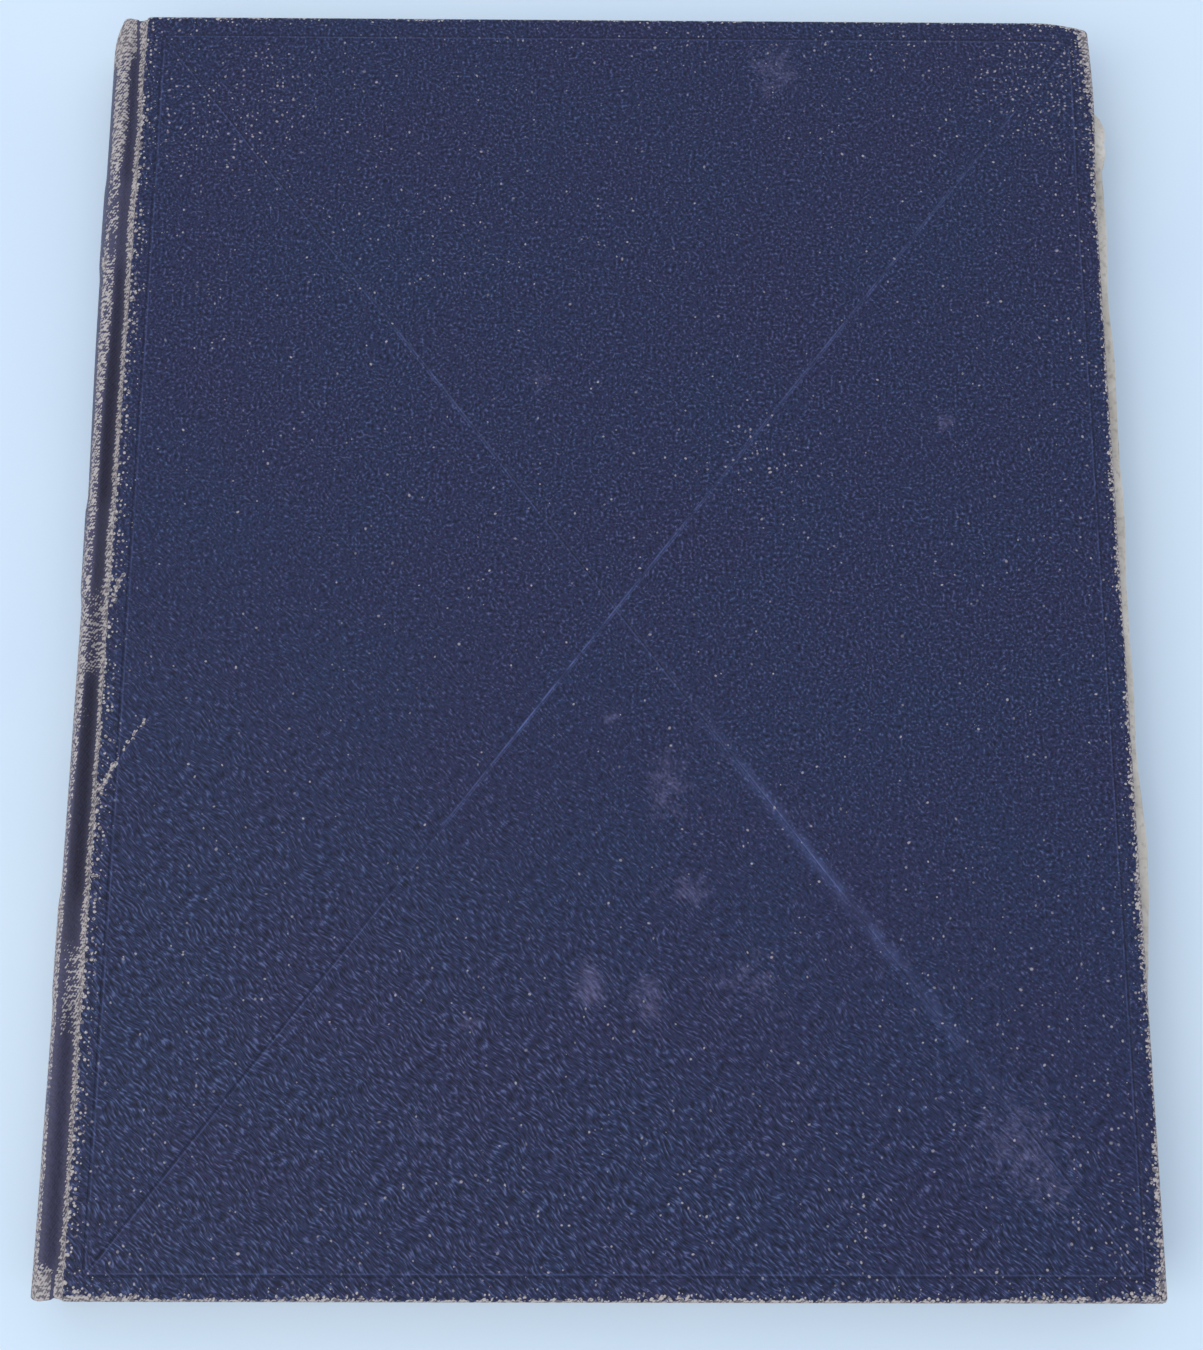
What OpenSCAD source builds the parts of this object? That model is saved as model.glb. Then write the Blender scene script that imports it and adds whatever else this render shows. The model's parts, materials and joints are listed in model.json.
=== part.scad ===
// Cloth-bound hardback book, a slim quarto lying closed on its back cover.
// +X runs from the spine to the fore-edge, +Y from the tail to the head, +Z up.
// The case is two boards and a spine strip in one sheet of cloth; the sewn text block hangs in it
// by its tapes and endpapers. The covers swing about hinge lines in the joint grooves.

/* [Covers] */
// Width of a cover from the joint to the fore-edge, over the cloth
cover_w = 196; // [150:1:240]
// Height of a cover from tail to head, over the cloth
cover_h = 254; // [180:1:320]
// Thickness of the board inside a cover
board_t = 2.4; // [1.8:0.1:3.4]
// Thickness of the book cloth
cloth_t = 0.35; // [0.25:0.05:0.5]
// Radius of the cloth where it turns over a board's edge
edge_r = 0.8; // [0.6:0.1:1.1]
// Width of the cloth turned in behind a board
turn_in = 15; // [8:1:24]
// Radius of a cover's corner in plan
corner_r = 1.3; // [1:0.1:4]
// Length of the bumped head corner of the front cover
bump_len = 10; // [4:1:20]
// How far that corner is knocked back
bump_drop = 2; // [1.5:0.1:4]

/* [Spine] */
// Distance in plan from the outermost spine to the cover's edge
joint_w = 8; // [7.6:0.05:9]
// How far the spine's ridges lie below the covers' outer faces
ridge_drop = 0.9; // [0.85:0.05:1.1]
// Radius of the ridge at each side of the rounded spine
ridge_r = 1.5; // [1.2:0.1:2.6]
// Width of the slope from the groove's floor up to the cover's edge
groove_slope = 1.7; // [1.2:0.05:1.9]
// Height of the groove's cloth over the endpaper
groove_lift = 0.35; // [0.2:0.05:0.6]
// How much the tapes fill the groove where they cross it
tape_fill = 0.9; // [0.3:0.1:1.1]
// How far the spine's outline is drawn in between the tapes
spine_waist = 0.4; // [0:0.05:0.5]
// How much further out the loose head end of the spine stands
spine_lean = 0.95; // [0:0.05:1.2]
// Length of the rounded cap at the head of the spine
cap_len = 7; // [4:0.5:10]
// How far that cap is drawn in at the head
cap_round = 2; // [1:0.1:2.5]
// Thickness of the card strip inside the spine
strip_t = 0.8; // [0.5:0.1:1]
// Hollow between the strip and the lining
hollow = 0.6; // [0.55:0.05:0.8]

/* [Text block] */
// Thickness of the sewn pages
block_t = 8.2; // [7.8:0.1:9.5]
// Number of sewn gatherings
gatherings = 8; // [5:1:10]
// Square: how far the covers stand past the pages at head and tail
square = 3; // [2:0.5:5]
// How far the pages stand past the front board at the fore-edge
overhang = 1.2; // [0:0.1:2]
// Extra reach of the ragged leaves near the head
ragged = 1.3; // [0:0.1:2]
// How much the rounded back stands out behind the shoulders
round_out = 1.95; // [1.6:0.05:2.1]
// How far a shoulder rises over the page face
shoulder = 0.65; // [0.4:0.05:0.75]
// Thickness of the lining on the back of the pages
lining_t = 0.8; // [0.6:0.1:0.9]

/* [Endpapers and tapes] */
// Thickness of an endpaper leaf
leaf_t = 0.2; // [0.1:0.05:0.3]
// Margin of a pastedown inside the cover's edge
paste_margin = 3; // [2:0.5:6]
// Width of a sewing tape
tape_w = 15; // [10:1:20]
// Thickness of a sewing tape
tape_t = 0.5; // [0.3:0.1:0.55]
// Length of a tape's slip on a board
slip_len = 26; // [15:1:40]
// Centre of the lower tape from the tail
tape_from_tail = 62; // [45:1:80]
// Centre of the upper tape from the head
tape_from_head = 46; // [35:1:60]
// How far the middle tape lies over the middle of the book
tape_mid_up = 12; // [0:1:20]

/* [Blind ruling] */
// Distance of the ruled frame from the joint and the fore-edge of the front cover
frame_side = 3.7; // [2:0.1:8]
// Distance of the ruled frame from the head and the tail
frame_end = 4.4; // [2:0.1:9]
// Width of a ruled line
rule_w = 0.5; // [0.3:0.1:1.2]
// Depth of a ruled line
rule_d = 0.15; // [0.05:0.05:0.2]

/* [Hidden] */

// Heights of the layers, from the table up
cover_t = cloth_t + board_t + leaf_t;
block_z = cover_t + leaf_t;
total_t = 2 * block_z + block_t;
mid_z = total_t / 2;

// Plan places
fore_x = joint_w + cover_w;
board_x = joint_w + cloth_t;
page_h = cover_h - 2 * square;
gather_t = block_t / gatherings;
tape_y = [tape_from_tail, cover_h / 2 + tape_mid_up, cover_h - tape_from_head];
// Depth of the notch between two gatherings at the fore-edge
notch = 0.25;

// Glue line between the strip and the cloth
glue_t = 0.04;

// Rounded back: one centre for the pages, lining, strip and cloth
half_back = block_t / 2 + shoulder;
back_r = (half_back * half_back + round_out * round_out) / (2 * round_out);
back_angle = asin(half_back / back_r);
lining_r = back_r + lining_t;
spine_r = lining_r + hollow + strip_t + cloth_t + glue_t;
back_x = spine_r + spine_lean;
shoulder_x = back_at(half_back);
neck_x = shoulder_x + 1.1;
// Height of the hollow curve halfway down a shoulder
shoulder_dip = 0.3 * shoulder;

// Ridge at each side of the spine: its arc runs into the spine's arc at this angle
ridge_h = mid_z - ridge_drop;
ridge_angle = asin((ridge_h - ridge_r) / (spine_r - ridge_r));
ridge_x = back_x - (spine_r - ridge_r) * cos(ridge_angle);

// Hinge lines, just inside the covers' outer faces, so that an opened cover clears the ridge
run_gap = 0.3;
hinge_drop = (ridge_drop - run_gap) / 2;
hinge_x = joint_w - groove_slope;
// Depth below the outer face at which the cover's cloth meets the spine's cloth
split_drop = hinge_drop + cloth_t;
// Running gap between the two cloths where they part
part_gap = 0.1;

ARC_STEPS = 6;
BLOCK_RINGS = 32;
EPS = 0.01;

CLOTH = "#2e3153";
BOARD = "#a89a80";
PAGES = "#b9b199";
ENDPAPER = "#cfc7b0";
TAPE = "#d8d2c0";
LINING = "#c9c0a6";

function smooth(a, b, t) =
    let (u = min(1, max(0, (t - a) / (b - a))))
    u * u * (3 - 2 * u);

// How strongly a tape is felt at height y: 1 over a tape, 0 where the cloth has come down beside it
tape_slope = 4;
function over_tape(y) =
    max([for (c = tape_y) 1 - smooth(tape_w / 2, tape_w / 2 + tape_slope, abs(y - c))]);

// Elliptical corner of a plan outline, from angle a, about the corner's own centre
function plan_corner(cx, cy, rx, ry, a) =
    [for (i = [0:ARC_STEPS]) [cx + rx * cos(a + 90 * i / ARC_STEPS), cy + ry * sin(a + 90 * i / ARC_STEPS)]];

// Plan outline of a cover drawn in by g, with its head fore-edge corner as long and deep as given
function cover_outline(g, head_len, head_drop) =
    let (
        x0 = joint_w + g,
        x1 = fore_x - g,
        y0 = g,
        y1 = cover_h - g,
        r = corner_r - g,
        rx = head_len - g,
        ry = head_drop - g
    )
    concat(
        plan_corner(x1 - r, y0 + r, r, r, 270),
        plan_corner(x1 - rx, y1 - ry, rx, ry, 0),
        plan_corner(x0 + r, y1 - r, r, r, 90),
        plan_corner(x0 + r, y0 + r, r, r, 180)
    );

// Solid between closed rings of points, one ring above the other or one after the other
module loft(rings) {
    n = len(rings[0]);
    m = len(rings);
    points = [for (ring = rings) each ring];
    sides = [
        for (j = [0:m - 2], i = [0:n - 1])
            each [
                [j * n + i, (j + 1) * n + (i + 1) % n, j * n + (i + 1) % n],
                [j * n + i, (j + 1) * n + i, (j + 1) * n + (i + 1) % n]
            ]
    ];
    first = [[for (i = [0:n - 1]) i]];
    last = [[for (i = [n - 1:-1:0]) (m - 1) * n + i]];
    polyhedron(points = points, faces = concat(sides, first, last));
}

// An upright section, given as [x, height over the middle], set as a closed ring at y
function upright(section, y) =
    [for (i = [len(section) - 1:-1:0]) [section[i][0], y, mid_z + section[i][1]]];

// Slab of a cover between z0 and z1, drawn in by g, with its outer edges rounded at the low face
module cover_slab(g, r, z0, z1, head_len, head_drop) {
    steps = 4;
    low = [
        for (i = [0:steps])
            let (a = 90 * i / steps)
            [for (p = cover_outline(g + r * (1 - sin(a)), head_len, head_drop)) [p[0], p[1], z0 + r * (1 - cos(a))]]
    ];
    top = [for (p = cover_outline(g, head_len, head_drop)) [p[0], p[1], z1]];
    loft(concat(low, [top]));
}

// Back cover shapes lie as modelled; the front cover's are the same turned over in z
module turned_over() {
    translate([0, 0, total_t])
        mirror([0, 0, 1])
            children();
}

// Beds pressed into the board's inner face for the tape slips
module slip_beds(grow) {
    for (c = tape_y)
        slip(c, grow);
}

module slip(c, grow = 0) {
    translate([board_x - grow, c - tape_w / 2, cover_t - leaf_t - tape_t])
        cube([slip_len + grow, tape_w, tape_t + grow]);
}

// Board with beds for the slips and a rebate for the turned-in cloth
module board(head_len, head_drop) {
    difference() {
        cover_slab(cloth_t, edge_r - cloth_t, cloth_t, cover_t - leaf_t, head_len, head_drop);
        turned_in(cloth_t + EPS, head_len, head_drop);
        slip_beds(EPS);
    }
}

// Cloth turned in on the inner face along three edges of the board
module turned_in(height, head_len, head_drop) {
    translate([0, 0, cover_t - leaf_t - cloth_t])
        difference() {
            linear_extrude(height)
                polygon(cover_outline(cloth_t / 2, head_len, head_drop));
            translate([joint_w - turn_in, turn_in, -EPS])
                cube([cover_w, cover_h - 2 * turn_in, height + 2 * EPS]);
            translate([joint_w - EPS, -EPS, -EPS])
                cube([cloth_t + EPS, cover_h + 2 * EPS, height + 2 * EPS]);
            for (c = tape_y)
                translate([board_x, c - tape_w / 2, -EPS])
                    cube([slip_len, tape_w, height + 2 * EPS]);
        }
}

// Cloth over the outer face and edges of a board, with its turn-ins
module cover_cloth(head_len, head_drop) {
    difference() {
        cover_slab(0, edge_r, 0, cover_t - leaf_t, head_len, head_drop);
        cover_slab(cloth_t, edge_r - cloth_t, cloth_t, cover_t, head_len, head_drop);
        translate([joint_w - EPS, -EPS, split_drop])
            cube([cloth_t + EPS, cover_h + 2 * EPS, cover_t]);
    }
    turned_in(cloth_t, head_len, head_drop);
}

// One ruled line of the front cover, from plan point a to plan point b
module rule(a, b) {
    d = b - a;
    run = norm(d);
    translate([a[0], a[1], 0])
        rotate([0, 0, atan2(d[1], d[0])])
            rotate([90, 0, 90])
                linear_extrude(run)
                    polygon([[-rule_w / 2, -EPS], [0, rule_d], [rule_w / 2, -EPS]]);
}

// Ruled frame and the two diagonals that join its corners
module blind_ruling() {
    x0 = joint_w + frame_side;
    x1 = fore_x - frame_side;
    y0 = frame_end;
    y1 = cover_h - frame_end;
    rule([x0, y0], [x1, y0]);
    rule([x1, y0], [x1, y1]);
    rule([x1, y1], [x0, y1]);
    rule([x0, y1], [x0, y0]);
    rule([x0, y0], [x1, y1]);
    rule([x0, y1], [x1, y0]);
}

module pastedown() {
    translate([board_x, paste_margin, cover_t - leaf_t])
        cube([cover_w - cloth_t - paste_margin, cover_h - 2 * paste_margin, leaf_t]);
}

module front_board() {
    color(BOARD) translate(shift) turned_over() board(bump_len, bump_drop);
}

module front_cloth() {
    color(CLOTH)
        translate(shift)
            turned_over()
                difference() {
                    cover_cloth(bump_len, bump_drop);
                    blind_ruling();
                }
}

module front_pastedown() {
    color(ENDPAPER) translate(shift) turned_over() pastedown();
}

module back_board() {
    color(BOARD) translate(shift) board(corner_r, corner_r);
}

module back_cloth() {
    color(CLOTH) translate(shift) cover_cloth(corner_r, corner_r);
}

module back_pastedown() {
    color(ENDPAPER) translate(shift) pastedown();
}

module front_slip(c) {
    color(TAPE) translate(shift) turned_over() slip(c);
}

module back_slip(c) {
    color(TAPE) translate(shift) slip(c);
}

// Fore-edge of gathering i at height y: leaf edges wander, and a few near the head are ragged
function leaf_x(i, y) =
    let (
        wander = 0.28 * sin(360 * y / 83 + 70 * i) + 0.18 * sin(360 * y / 31 + 131 * i),
        near_top = smooth(0.45, 1, (i + 0.5) / gatherings),
        torn = ragged * near_top * exp(-pow((y - 0.897 * cover_h) / 6.5, 2)),
        out = smooth(40, 75, y),
        hollowed = 0.9 * (1 - near_top) * sin(180 * (i + 0.5) / gatherings)
    )
    fore_x - 0.35 + (overhang + wander) * near_top * (0.1 + 0.9 * out) - hollowed + torn;

function block_y(j) = square + page_h * j / BLOCK_RINGS;

// Furthest leaf of all, the overall width with it, and the shift that centres the book on Z
overall_w = max([for (j = [0:BLOCK_RINGS], i = [0:gatherings - 1]) leaf_x(i, block_y(j))]);
shift = [-overall_w / 2, -cover_h / 2, 0];

// Back of the pages at height z from the middle, on the rounded arc
function back_at(z) = back_x - sqrt(back_r * back_r - z * z);

// Closed ring of the block's section at height y: fore-edge, top, rounded back, bottom
function block_ring(y) =
    let (
        low = -block_t / 2,
        fore = [
            for (i = [0:gatherings - 1])
                let (z = low + i * gather_t, x = leaf_x(i, y))
                each [
                    [x - notch, z],
                    [x, z + 0.25 * gather_t],
                    [x, z + 0.75 * gather_t]
                ]
        ],
        top = [
            [leaf_x(gatherings - 1, y) - notch, -low],
            [neck_x, -low],
            [(neck_x + shoulder_x) / 2, shoulder_dip - low]
        ],
        back = [
            for (i = [gatherings:-1:1])
                let (
                    a = half_back * (2 * i / gatherings - 1),
                    m = half_back * ((2 * i - 1) / gatherings - 1)
                )
                each [[back_at(a) + (i == gatherings ? 0 : 0.15), a], [back_at(m), m]]
        ],
        heel = [
            [shoulder_x, -half_back],
            [(neck_x + shoulder_x) / 2, low - shoulder_dip],
            [neck_x, low]
        ]
    )
    concat(fore, top, back, heel);

module text_block() {
    color(PAGES)
        translate(shift)
            loft([for (j = [0:BLOCK_RINGS]) upright(block_ring(block_y(j)), block_y(j))]);
}

// Wall between two radii about the centre of the rounded back, cut to the half angle a
module back_wall(r0, r1, a, h) {
    translate([back_x, 0, mid_z])
        rotate([-90, 0, 0])
            rotate([0, 0, 180 - a])
                rotate_extrude(angle = 2 * a, $fn = 96)
                    translate([r0, 0])
                        square([r1 - r0, h]);
}

// Lining glued over the back of the pages, bedded over the tapes
module spine_lining() {
    color(LINING)
        translate(shift)
            difference() {
                translate([0, square + 2, 0])
                    back_wall(back_r, lining_r, back_angle, page_h - 4);
                for (c = tape_y)
                    translate([0, c - tape_w / 2, 0])
                        back_wall(back_r - EPS, back_r + tape_t, back_angle + 1, tape_w);
            }
}

// Tape round the back of the pages, on which the gatherings are sewn
module tape(c) {
    color(TAPE)
        translate(shift)
            translate([0, c - tape_w / 2, 0])
                back_wall(back_r, back_r + tape_t, back_angle, tape_w);
}

module flyleaf() {
    translate([neck_x, square, block_z - leaf_t])
        cube([fore_x - 2 - neck_x, page_h, leaf_t]);
}

module front_flyleaf() {
    color(ENDPAPER) translate(shift) turned_over() flyleaf();
}

module back_flyleaf() {
    color(ENDPAPER) translate(shift) flyleaf();
}

// Upper half of the ridges and arc of the spine's outer line, from the ridge's top to the middle
RIDGE_STEPS = 4;
function spine_round() =
    let (
        ridge = [
            for (i = [0:RIDGE_STEPS])
                let (a = 90 - (90 - ridge_angle) * i / RIDGE_STEPS)
                [ridge_x - ridge_r * cos(a), ridge_h - ridge_r + ridge_r * sin(a)]
        ],
        arc = [
            for (i = [1:3])
                let (a = ridge_angle * (1 - i / 3))
                [back_x - spine_r * cos(a), spine_r * sin(a)]
        ]
    )
    concat(ridge, arc);

// Upper half of the spine cloth's outer line, from the cover's edge down into the groove and up
// to the ridge; fill says how much a tape lifts the groove
function groove_line(fill) =
    let (
        floor_z = block_t / 2 + leaf_t + groove_lift + cloth_t + tape_fill * fill,
        lip_z = mid_z - split_drop - part_gap,
        wall_x = joint_w - part_gap,
        down = [
            for (i = [0:4])
                let (t = i / 4)
                [wall_x + (hinge_x - wall_x) * pow(t, 1.4), floor_z + (lip_z - floor_z) * pow(1 - t, 2)]
        ],
        rise = [
            for (i = [1:3])
                let (t = i / 4)
                [hinge_x + (ridge_x - hinge_x) * t, floor_z + (ridge_h - floor_z) * smooth(0, 1, t)]
        ]
    )
    concat(down, rise);

// Unit normal of a spine line at point i, into the book; at both lips it points along +X
function line_normal(line, i) =
    let (
        last = len(line) - 1,
        d = i == 0 || i == last ? [0, -1] : line[i + 1] - line[i - 1]
    )
    [-d[1], d[0]] / norm(d);

// The upper half of a line and its mirror below, as one run
function mirrored(half) = concat(half, [for (i = [len(half) - 2:-1:0]) [half[i][0], -half[i][1]]]);

// How far the spine is drawn in at height y: the tapes hold it out, its head end stands further
// out, and the head cap is rounded
function waist(y) =
    let (c = max(0, y - (cover_h - cap_len)) / cap_len)
    spine_waist * pow(sin(180 * y / cover_h), 0.6) * (1 - over_tape(y))
        - spine_lean * smooth(0.5, 0.78, y / cover_h)
        + cap_round * (1 - sqrt(1 - c * c));

// A spine line drawn in by w: all of it at the back, none at the ridge
function drawn_in(line, w) = [for (p = line) [p[0] + w * (1 - smooth(spine_lean, ridge_x, p[0])), p[1]]];

// Full line of the spine's outer face at height y, from the front lip to the back lip
function spine_line(y) = drawn_in(mirrored(concat(groove_line(over_tape(y)), spine_round())), waist(y));

// Heights of the spine's sections: close together at the tapes' edges and in the head cap
spine_stops = concat(
    [0],
    [for (c = tape_y, s = [-1, 1], e = [0, 0.5, 1]) c + s * (tape_w / 2 + tape_slope * (s < 0 ? 1 - e : e))],
    [cover_h - cap_len]
);
spine_ys = concat(
    [
        for (k = [0:len(spine_stops) - 2])
            let (a = spine_stops[k], b = spine_stops[k + 1], n = ceil((b - a) / 24))
            each [for (i = [0:n - 1]) a + (b - a) * i / n]
    ],
    [for (i = [0:4]) cover_h - cap_len * (1 - sin(90 * i / 4))]
);

// A spine line's points that have the strip behind them, past the ridges' tops
line_len = len(spine_line(0));
strip_from = line_len / 2 - 0.5 - 5;
strip_to = line_len / 2 - 0.5 + 5;

// Closed section at height y between two depths under the cloth's outer face, from point a to b
function wall_ring(y, a, b, out, in) =
    let (line = spine_line(y))
    upright(
        concat(
            [for (i = [a:b]) line[i] + out * line_normal(line, i)],
            [for (i = [b:-1:a]) line[i] + in * line_normal(line, i)]
        ),
        y
    );

module spine_cloth() {
    color(CLOTH)
        translate(shift)
            loft([for (y = spine_ys) wall_ring(y, 0, line_len - 1, 0, cloth_t)]);
}

// Card strip inside the spine cloth, short of the cloth's two ends
module spine_strip() {
    inset = cloth_t + glue_t;
    ys = concat(
        [inset],
        [for (y = spine_ys) if (y > 2 * inset && y < cover_h - 2 * inset) y],
        [cover_h - inset]
    );
    color(BOARD)
        translate(shift)
            loft([for (y = ys) wall_ring(y, strip_from, strip_to, cloth_t + glue_t, cloth_t + glue_t + strip_t)]);
}

text_block();
spine_lining();
tape(tape_y[0]);  // tape_tail
tape(tape_y[1]);  // tape_middle
tape(tape_y[2]);  // tape_head
spine_strip();
spine_cloth();
front_flyleaf();
back_flyleaf();
front_board();
front_cloth();
front_pastedown();
front_slip(tape_y[0]);  // front_slip_tail
front_slip(tape_y[1]);  // front_slip_middle
front_slip(tape_y[2]);  // front_slip_head
back_board();
back_cloth();
back_pastedown();
back_slip(tape_y[0]);  // back_slip_tail
back_slip(tape_y[1]);  // back_slip_middle
back_slip(tape_y[2]);  // back_slip_head
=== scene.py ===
"""Looks of a slim old quarto hardback, bound in grained dark blue book cloth.

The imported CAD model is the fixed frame. The cloth of the case, the pages and the folded endpapers
are new pieces that take their places from it; boards, tapes, slips, lining and spine strip keep
their CAD meshes and get finishes. Sizes are in millimetres until a mesh is written in metres.
"""

import json
import logging
import math
from dataclasses import dataclass
from enum import Enum

import bpy
import numpy as np
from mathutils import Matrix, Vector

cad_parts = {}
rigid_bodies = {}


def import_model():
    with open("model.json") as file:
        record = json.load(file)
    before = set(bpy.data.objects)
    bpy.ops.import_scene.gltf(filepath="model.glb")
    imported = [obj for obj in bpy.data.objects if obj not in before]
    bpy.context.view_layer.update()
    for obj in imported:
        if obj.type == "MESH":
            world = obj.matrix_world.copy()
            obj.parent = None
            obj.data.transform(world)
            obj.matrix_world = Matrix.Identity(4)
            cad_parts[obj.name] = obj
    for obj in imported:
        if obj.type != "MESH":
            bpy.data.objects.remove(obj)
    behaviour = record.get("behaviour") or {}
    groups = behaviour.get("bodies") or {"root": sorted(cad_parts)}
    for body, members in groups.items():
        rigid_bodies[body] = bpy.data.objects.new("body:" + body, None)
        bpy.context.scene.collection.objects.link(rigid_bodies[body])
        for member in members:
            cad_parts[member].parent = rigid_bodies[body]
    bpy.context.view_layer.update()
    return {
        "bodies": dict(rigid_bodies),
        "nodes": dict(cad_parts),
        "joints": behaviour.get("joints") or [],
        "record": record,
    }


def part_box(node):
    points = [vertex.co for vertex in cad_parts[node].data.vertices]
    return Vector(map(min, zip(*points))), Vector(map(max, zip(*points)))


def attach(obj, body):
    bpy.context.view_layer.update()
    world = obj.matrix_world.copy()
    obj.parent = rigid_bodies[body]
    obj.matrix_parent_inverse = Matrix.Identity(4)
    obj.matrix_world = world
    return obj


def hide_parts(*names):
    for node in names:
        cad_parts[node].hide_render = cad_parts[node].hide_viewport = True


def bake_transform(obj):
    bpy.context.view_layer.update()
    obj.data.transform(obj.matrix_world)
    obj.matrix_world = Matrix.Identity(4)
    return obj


LOG = logging.getLogger("hardback")
MM = 0.001
SEED = 41
Socket = bpy.types.NodeSocket
Parts = dict[str, Socket]
Row = tuple[float, ...]
Mark = tuple[float, float, float, float, float]
# Vertex values that the cloth's finish reads, besides "sheet" and "lines"
SURFACE_VALUES = tuple("wear weave soot scuff drag gloss specks rub crease torn".split())


class Side(Enum):
    """Half of the case: its sign turns the shape over about the book's middle height."""

    FRONT = 1
    BACK = -1

    @property
    def prefix(self) -> str:
        """Start of the names of this half's nodes."""
        return self.name.lower()

    def placed(
        self, points: np.ndarray, quads: np.ndarray, mid_z: float
    ) -> tuple[np.ndarray, np.ndarray]:
        """Turns a front mesh over if this is the back half, and lifts it to the middle height.

        Args:
            points: vertices with their height over the middle as z. They are moved in place.
            quads: faces, pointing outwards.
            mid_z: middle height.
        Returns:
            Vertices and quads.
        """
        points[:, 2] *= self.value
        points[:, 2] += mid_z
        return points, quads[:, :: self.value]


def linear(hex_colour: str) -> tuple[float, float, float, float]:
    """Turns an sRGB hex colour into linear RGBA.

    Args:
        hex_colour: six digits with a leading #.
    Returns:
        Linear red, green, blue and alpha 1.
    """
    parts = [int(hex_colour[i : i + 2], 16) / 255 for i in (1, 3, 5)]
    lin = [c / 12.92 if c <= 0.04045 else ((c + 0.055) / 1.055) ** 2.4 for c in parts]
    return (*lin, 1.0)


def smooth(a: float, b: float, t: np.ndarray) -> np.ndarray:
    """Smooth step: 0 below a, 1 above b, and 3u^2 - 2u^3 between."""
    u = np.clip((t - a) / (b - a), 0.0, 1.0)
    return u * u * (3 - 2 * u)


def graded(a: float, b: float, fine: float, coarse: float, reach: float) -> np.ndarray:
    """Places between a and b whose spacing grows from fine at both ends to coarse at reach.

    The density of points is one over the wanted spacing; its running sum, cut in equal shares,
    gives the places.

    Args:
        a: first place.
        b: last place.
        fine: spacing at both.
        coarse: spacing from the reach inwards.
        reach: distance over which the spacing grows.
    Returns:
        The places, in order.
    """
    x = np.linspace(a, b, 6001)
    step = fine + (coarse - fine) * smooth(0, reach, np.minimum(x - a, b - x))
    run = np.concatenate([[0.0], np.cumsum(0.5 / step[1:] + 0.5 / step[:-1]) * (x[1] - x[0])])
    return np.interp(np.linspace(0, run[-1], math.ceil(run[-1]) + 1), run, x)


def ripples(x: np.ndarray, y: np.ndarray, length: float, seed: int) -> np.ndarray:
    """Smooth random field between about -1 and 1: a sum of seven plane waves near one length.

    Args:
        x: places along the first axis.
        y: places along the second.
        length: the waves are 0.7 to 1.5 times as long.
        seed: number of the field.
    Returns:
        The field at each place.
    """
    rng = np.random.default_rng(SEED + seed)
    total = np.zeros(np.broadcast(x, y).shape)
    for turn, phase, stretch in zip(*rng.uniform(size=(3, 7))):
        k = 2 * math.pi / (length * (0.7 + 0.8 * stretch))
        total += np.sin(k * (x * math.cos(7 * turn) + y * math.sin(7 * turn)) + 6.3 * phase)
    return total / 3.5


def bump_at(x: np.ndarray, y: np.ndarray, cx: float, cy: float, sx: float, sy: float) -> np.ndarray:
    """Bell curve of height 1 at (cx, cy), with half widths sx and sy."""
    return np.exp(-(((x - cx) / sx) ** 2) - ((y - cy) / sy) ** 2)


def grid_quads(ids: np.ndarray) -> np.ndarray:
    """Quads of a grid of vertex numbers, turned so that rows x columns points outwards."""
    return np.stack([ids[:-1, :-1], ids[1:, :-1], ids[1:, 1:], ids[:-1, 1:]], -1).reshape(-1, 4)


def outline(grid: np.ndarray) -> np.ndarray:
    """Border of a grid along tail, fore-edge and head: first row, last column, last row back."""
    return np.concatenate([grid[:, 0], grid[-1, 1:], grid[-2::-1, -1]])


def vertex_normals(points: np.ndarray, quads: np.ndarray) -> np.ndarray:
    """Unit normals: the cross products of each quad's diagonals, summed at its corners.

    Args:
        points: vertices.
        quads: faces, pointing outwards.
    Returns:
        A normal for each vertex.
    """
    corner = points[quads]
    face = np.cross(corner[:, 2] - corner[:, 0], corner[:, 3] - corner[:, 1])
    total = np.zeros_like(points)
    for k in range(4):
        np.add.at(total, quads[:, k], face)
    return total / np.maximum(np.linalg.norm(total, axis=1, keepdims=True), 1e-12)


def open_edges(quads: np.ndarray) -> np.ndarray:
    """Finds the border of a sheet.

    Args:
        quads: faces of the sheet.
    Returns:
        Directed edges that only one quad uses.
    """
    edges = np.concatenate([quads[:, [k, (k + 1) % 4]] for k in range(4)])
    _, first, count = np.unique(np.sort(edges, 1), axis=0, return_index=True, return_counts=True)
    return edges[first[count == 1]]


def thickened(points: np.ndarray, quads: np.ndarray, wall: float) -> tuple[np.ndarray, np.ndarray]:
    """Closed shell: the outer sheet, its copy moved inwards by the wall, and quads round the rim.

    Args:
        points: outer vertices.
        quads: outer faces, pointing outwards.
        wall: thickness in mm.
    Returns:
        Vertices, outer ones first, and quads.
    """
    n = len(points)
    inner = points - wall * vertex_normals(points, quads)
    rim = open_edges(quads)
    band = np.stack([rim[:, 1], rim[:, 0], rim[:, 0] + n, rim[:, 1] + n], 1)
    return np.concatenate([points, inner]), np.concatenate([quads, quads[:, ::-1] + n, band])


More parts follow.
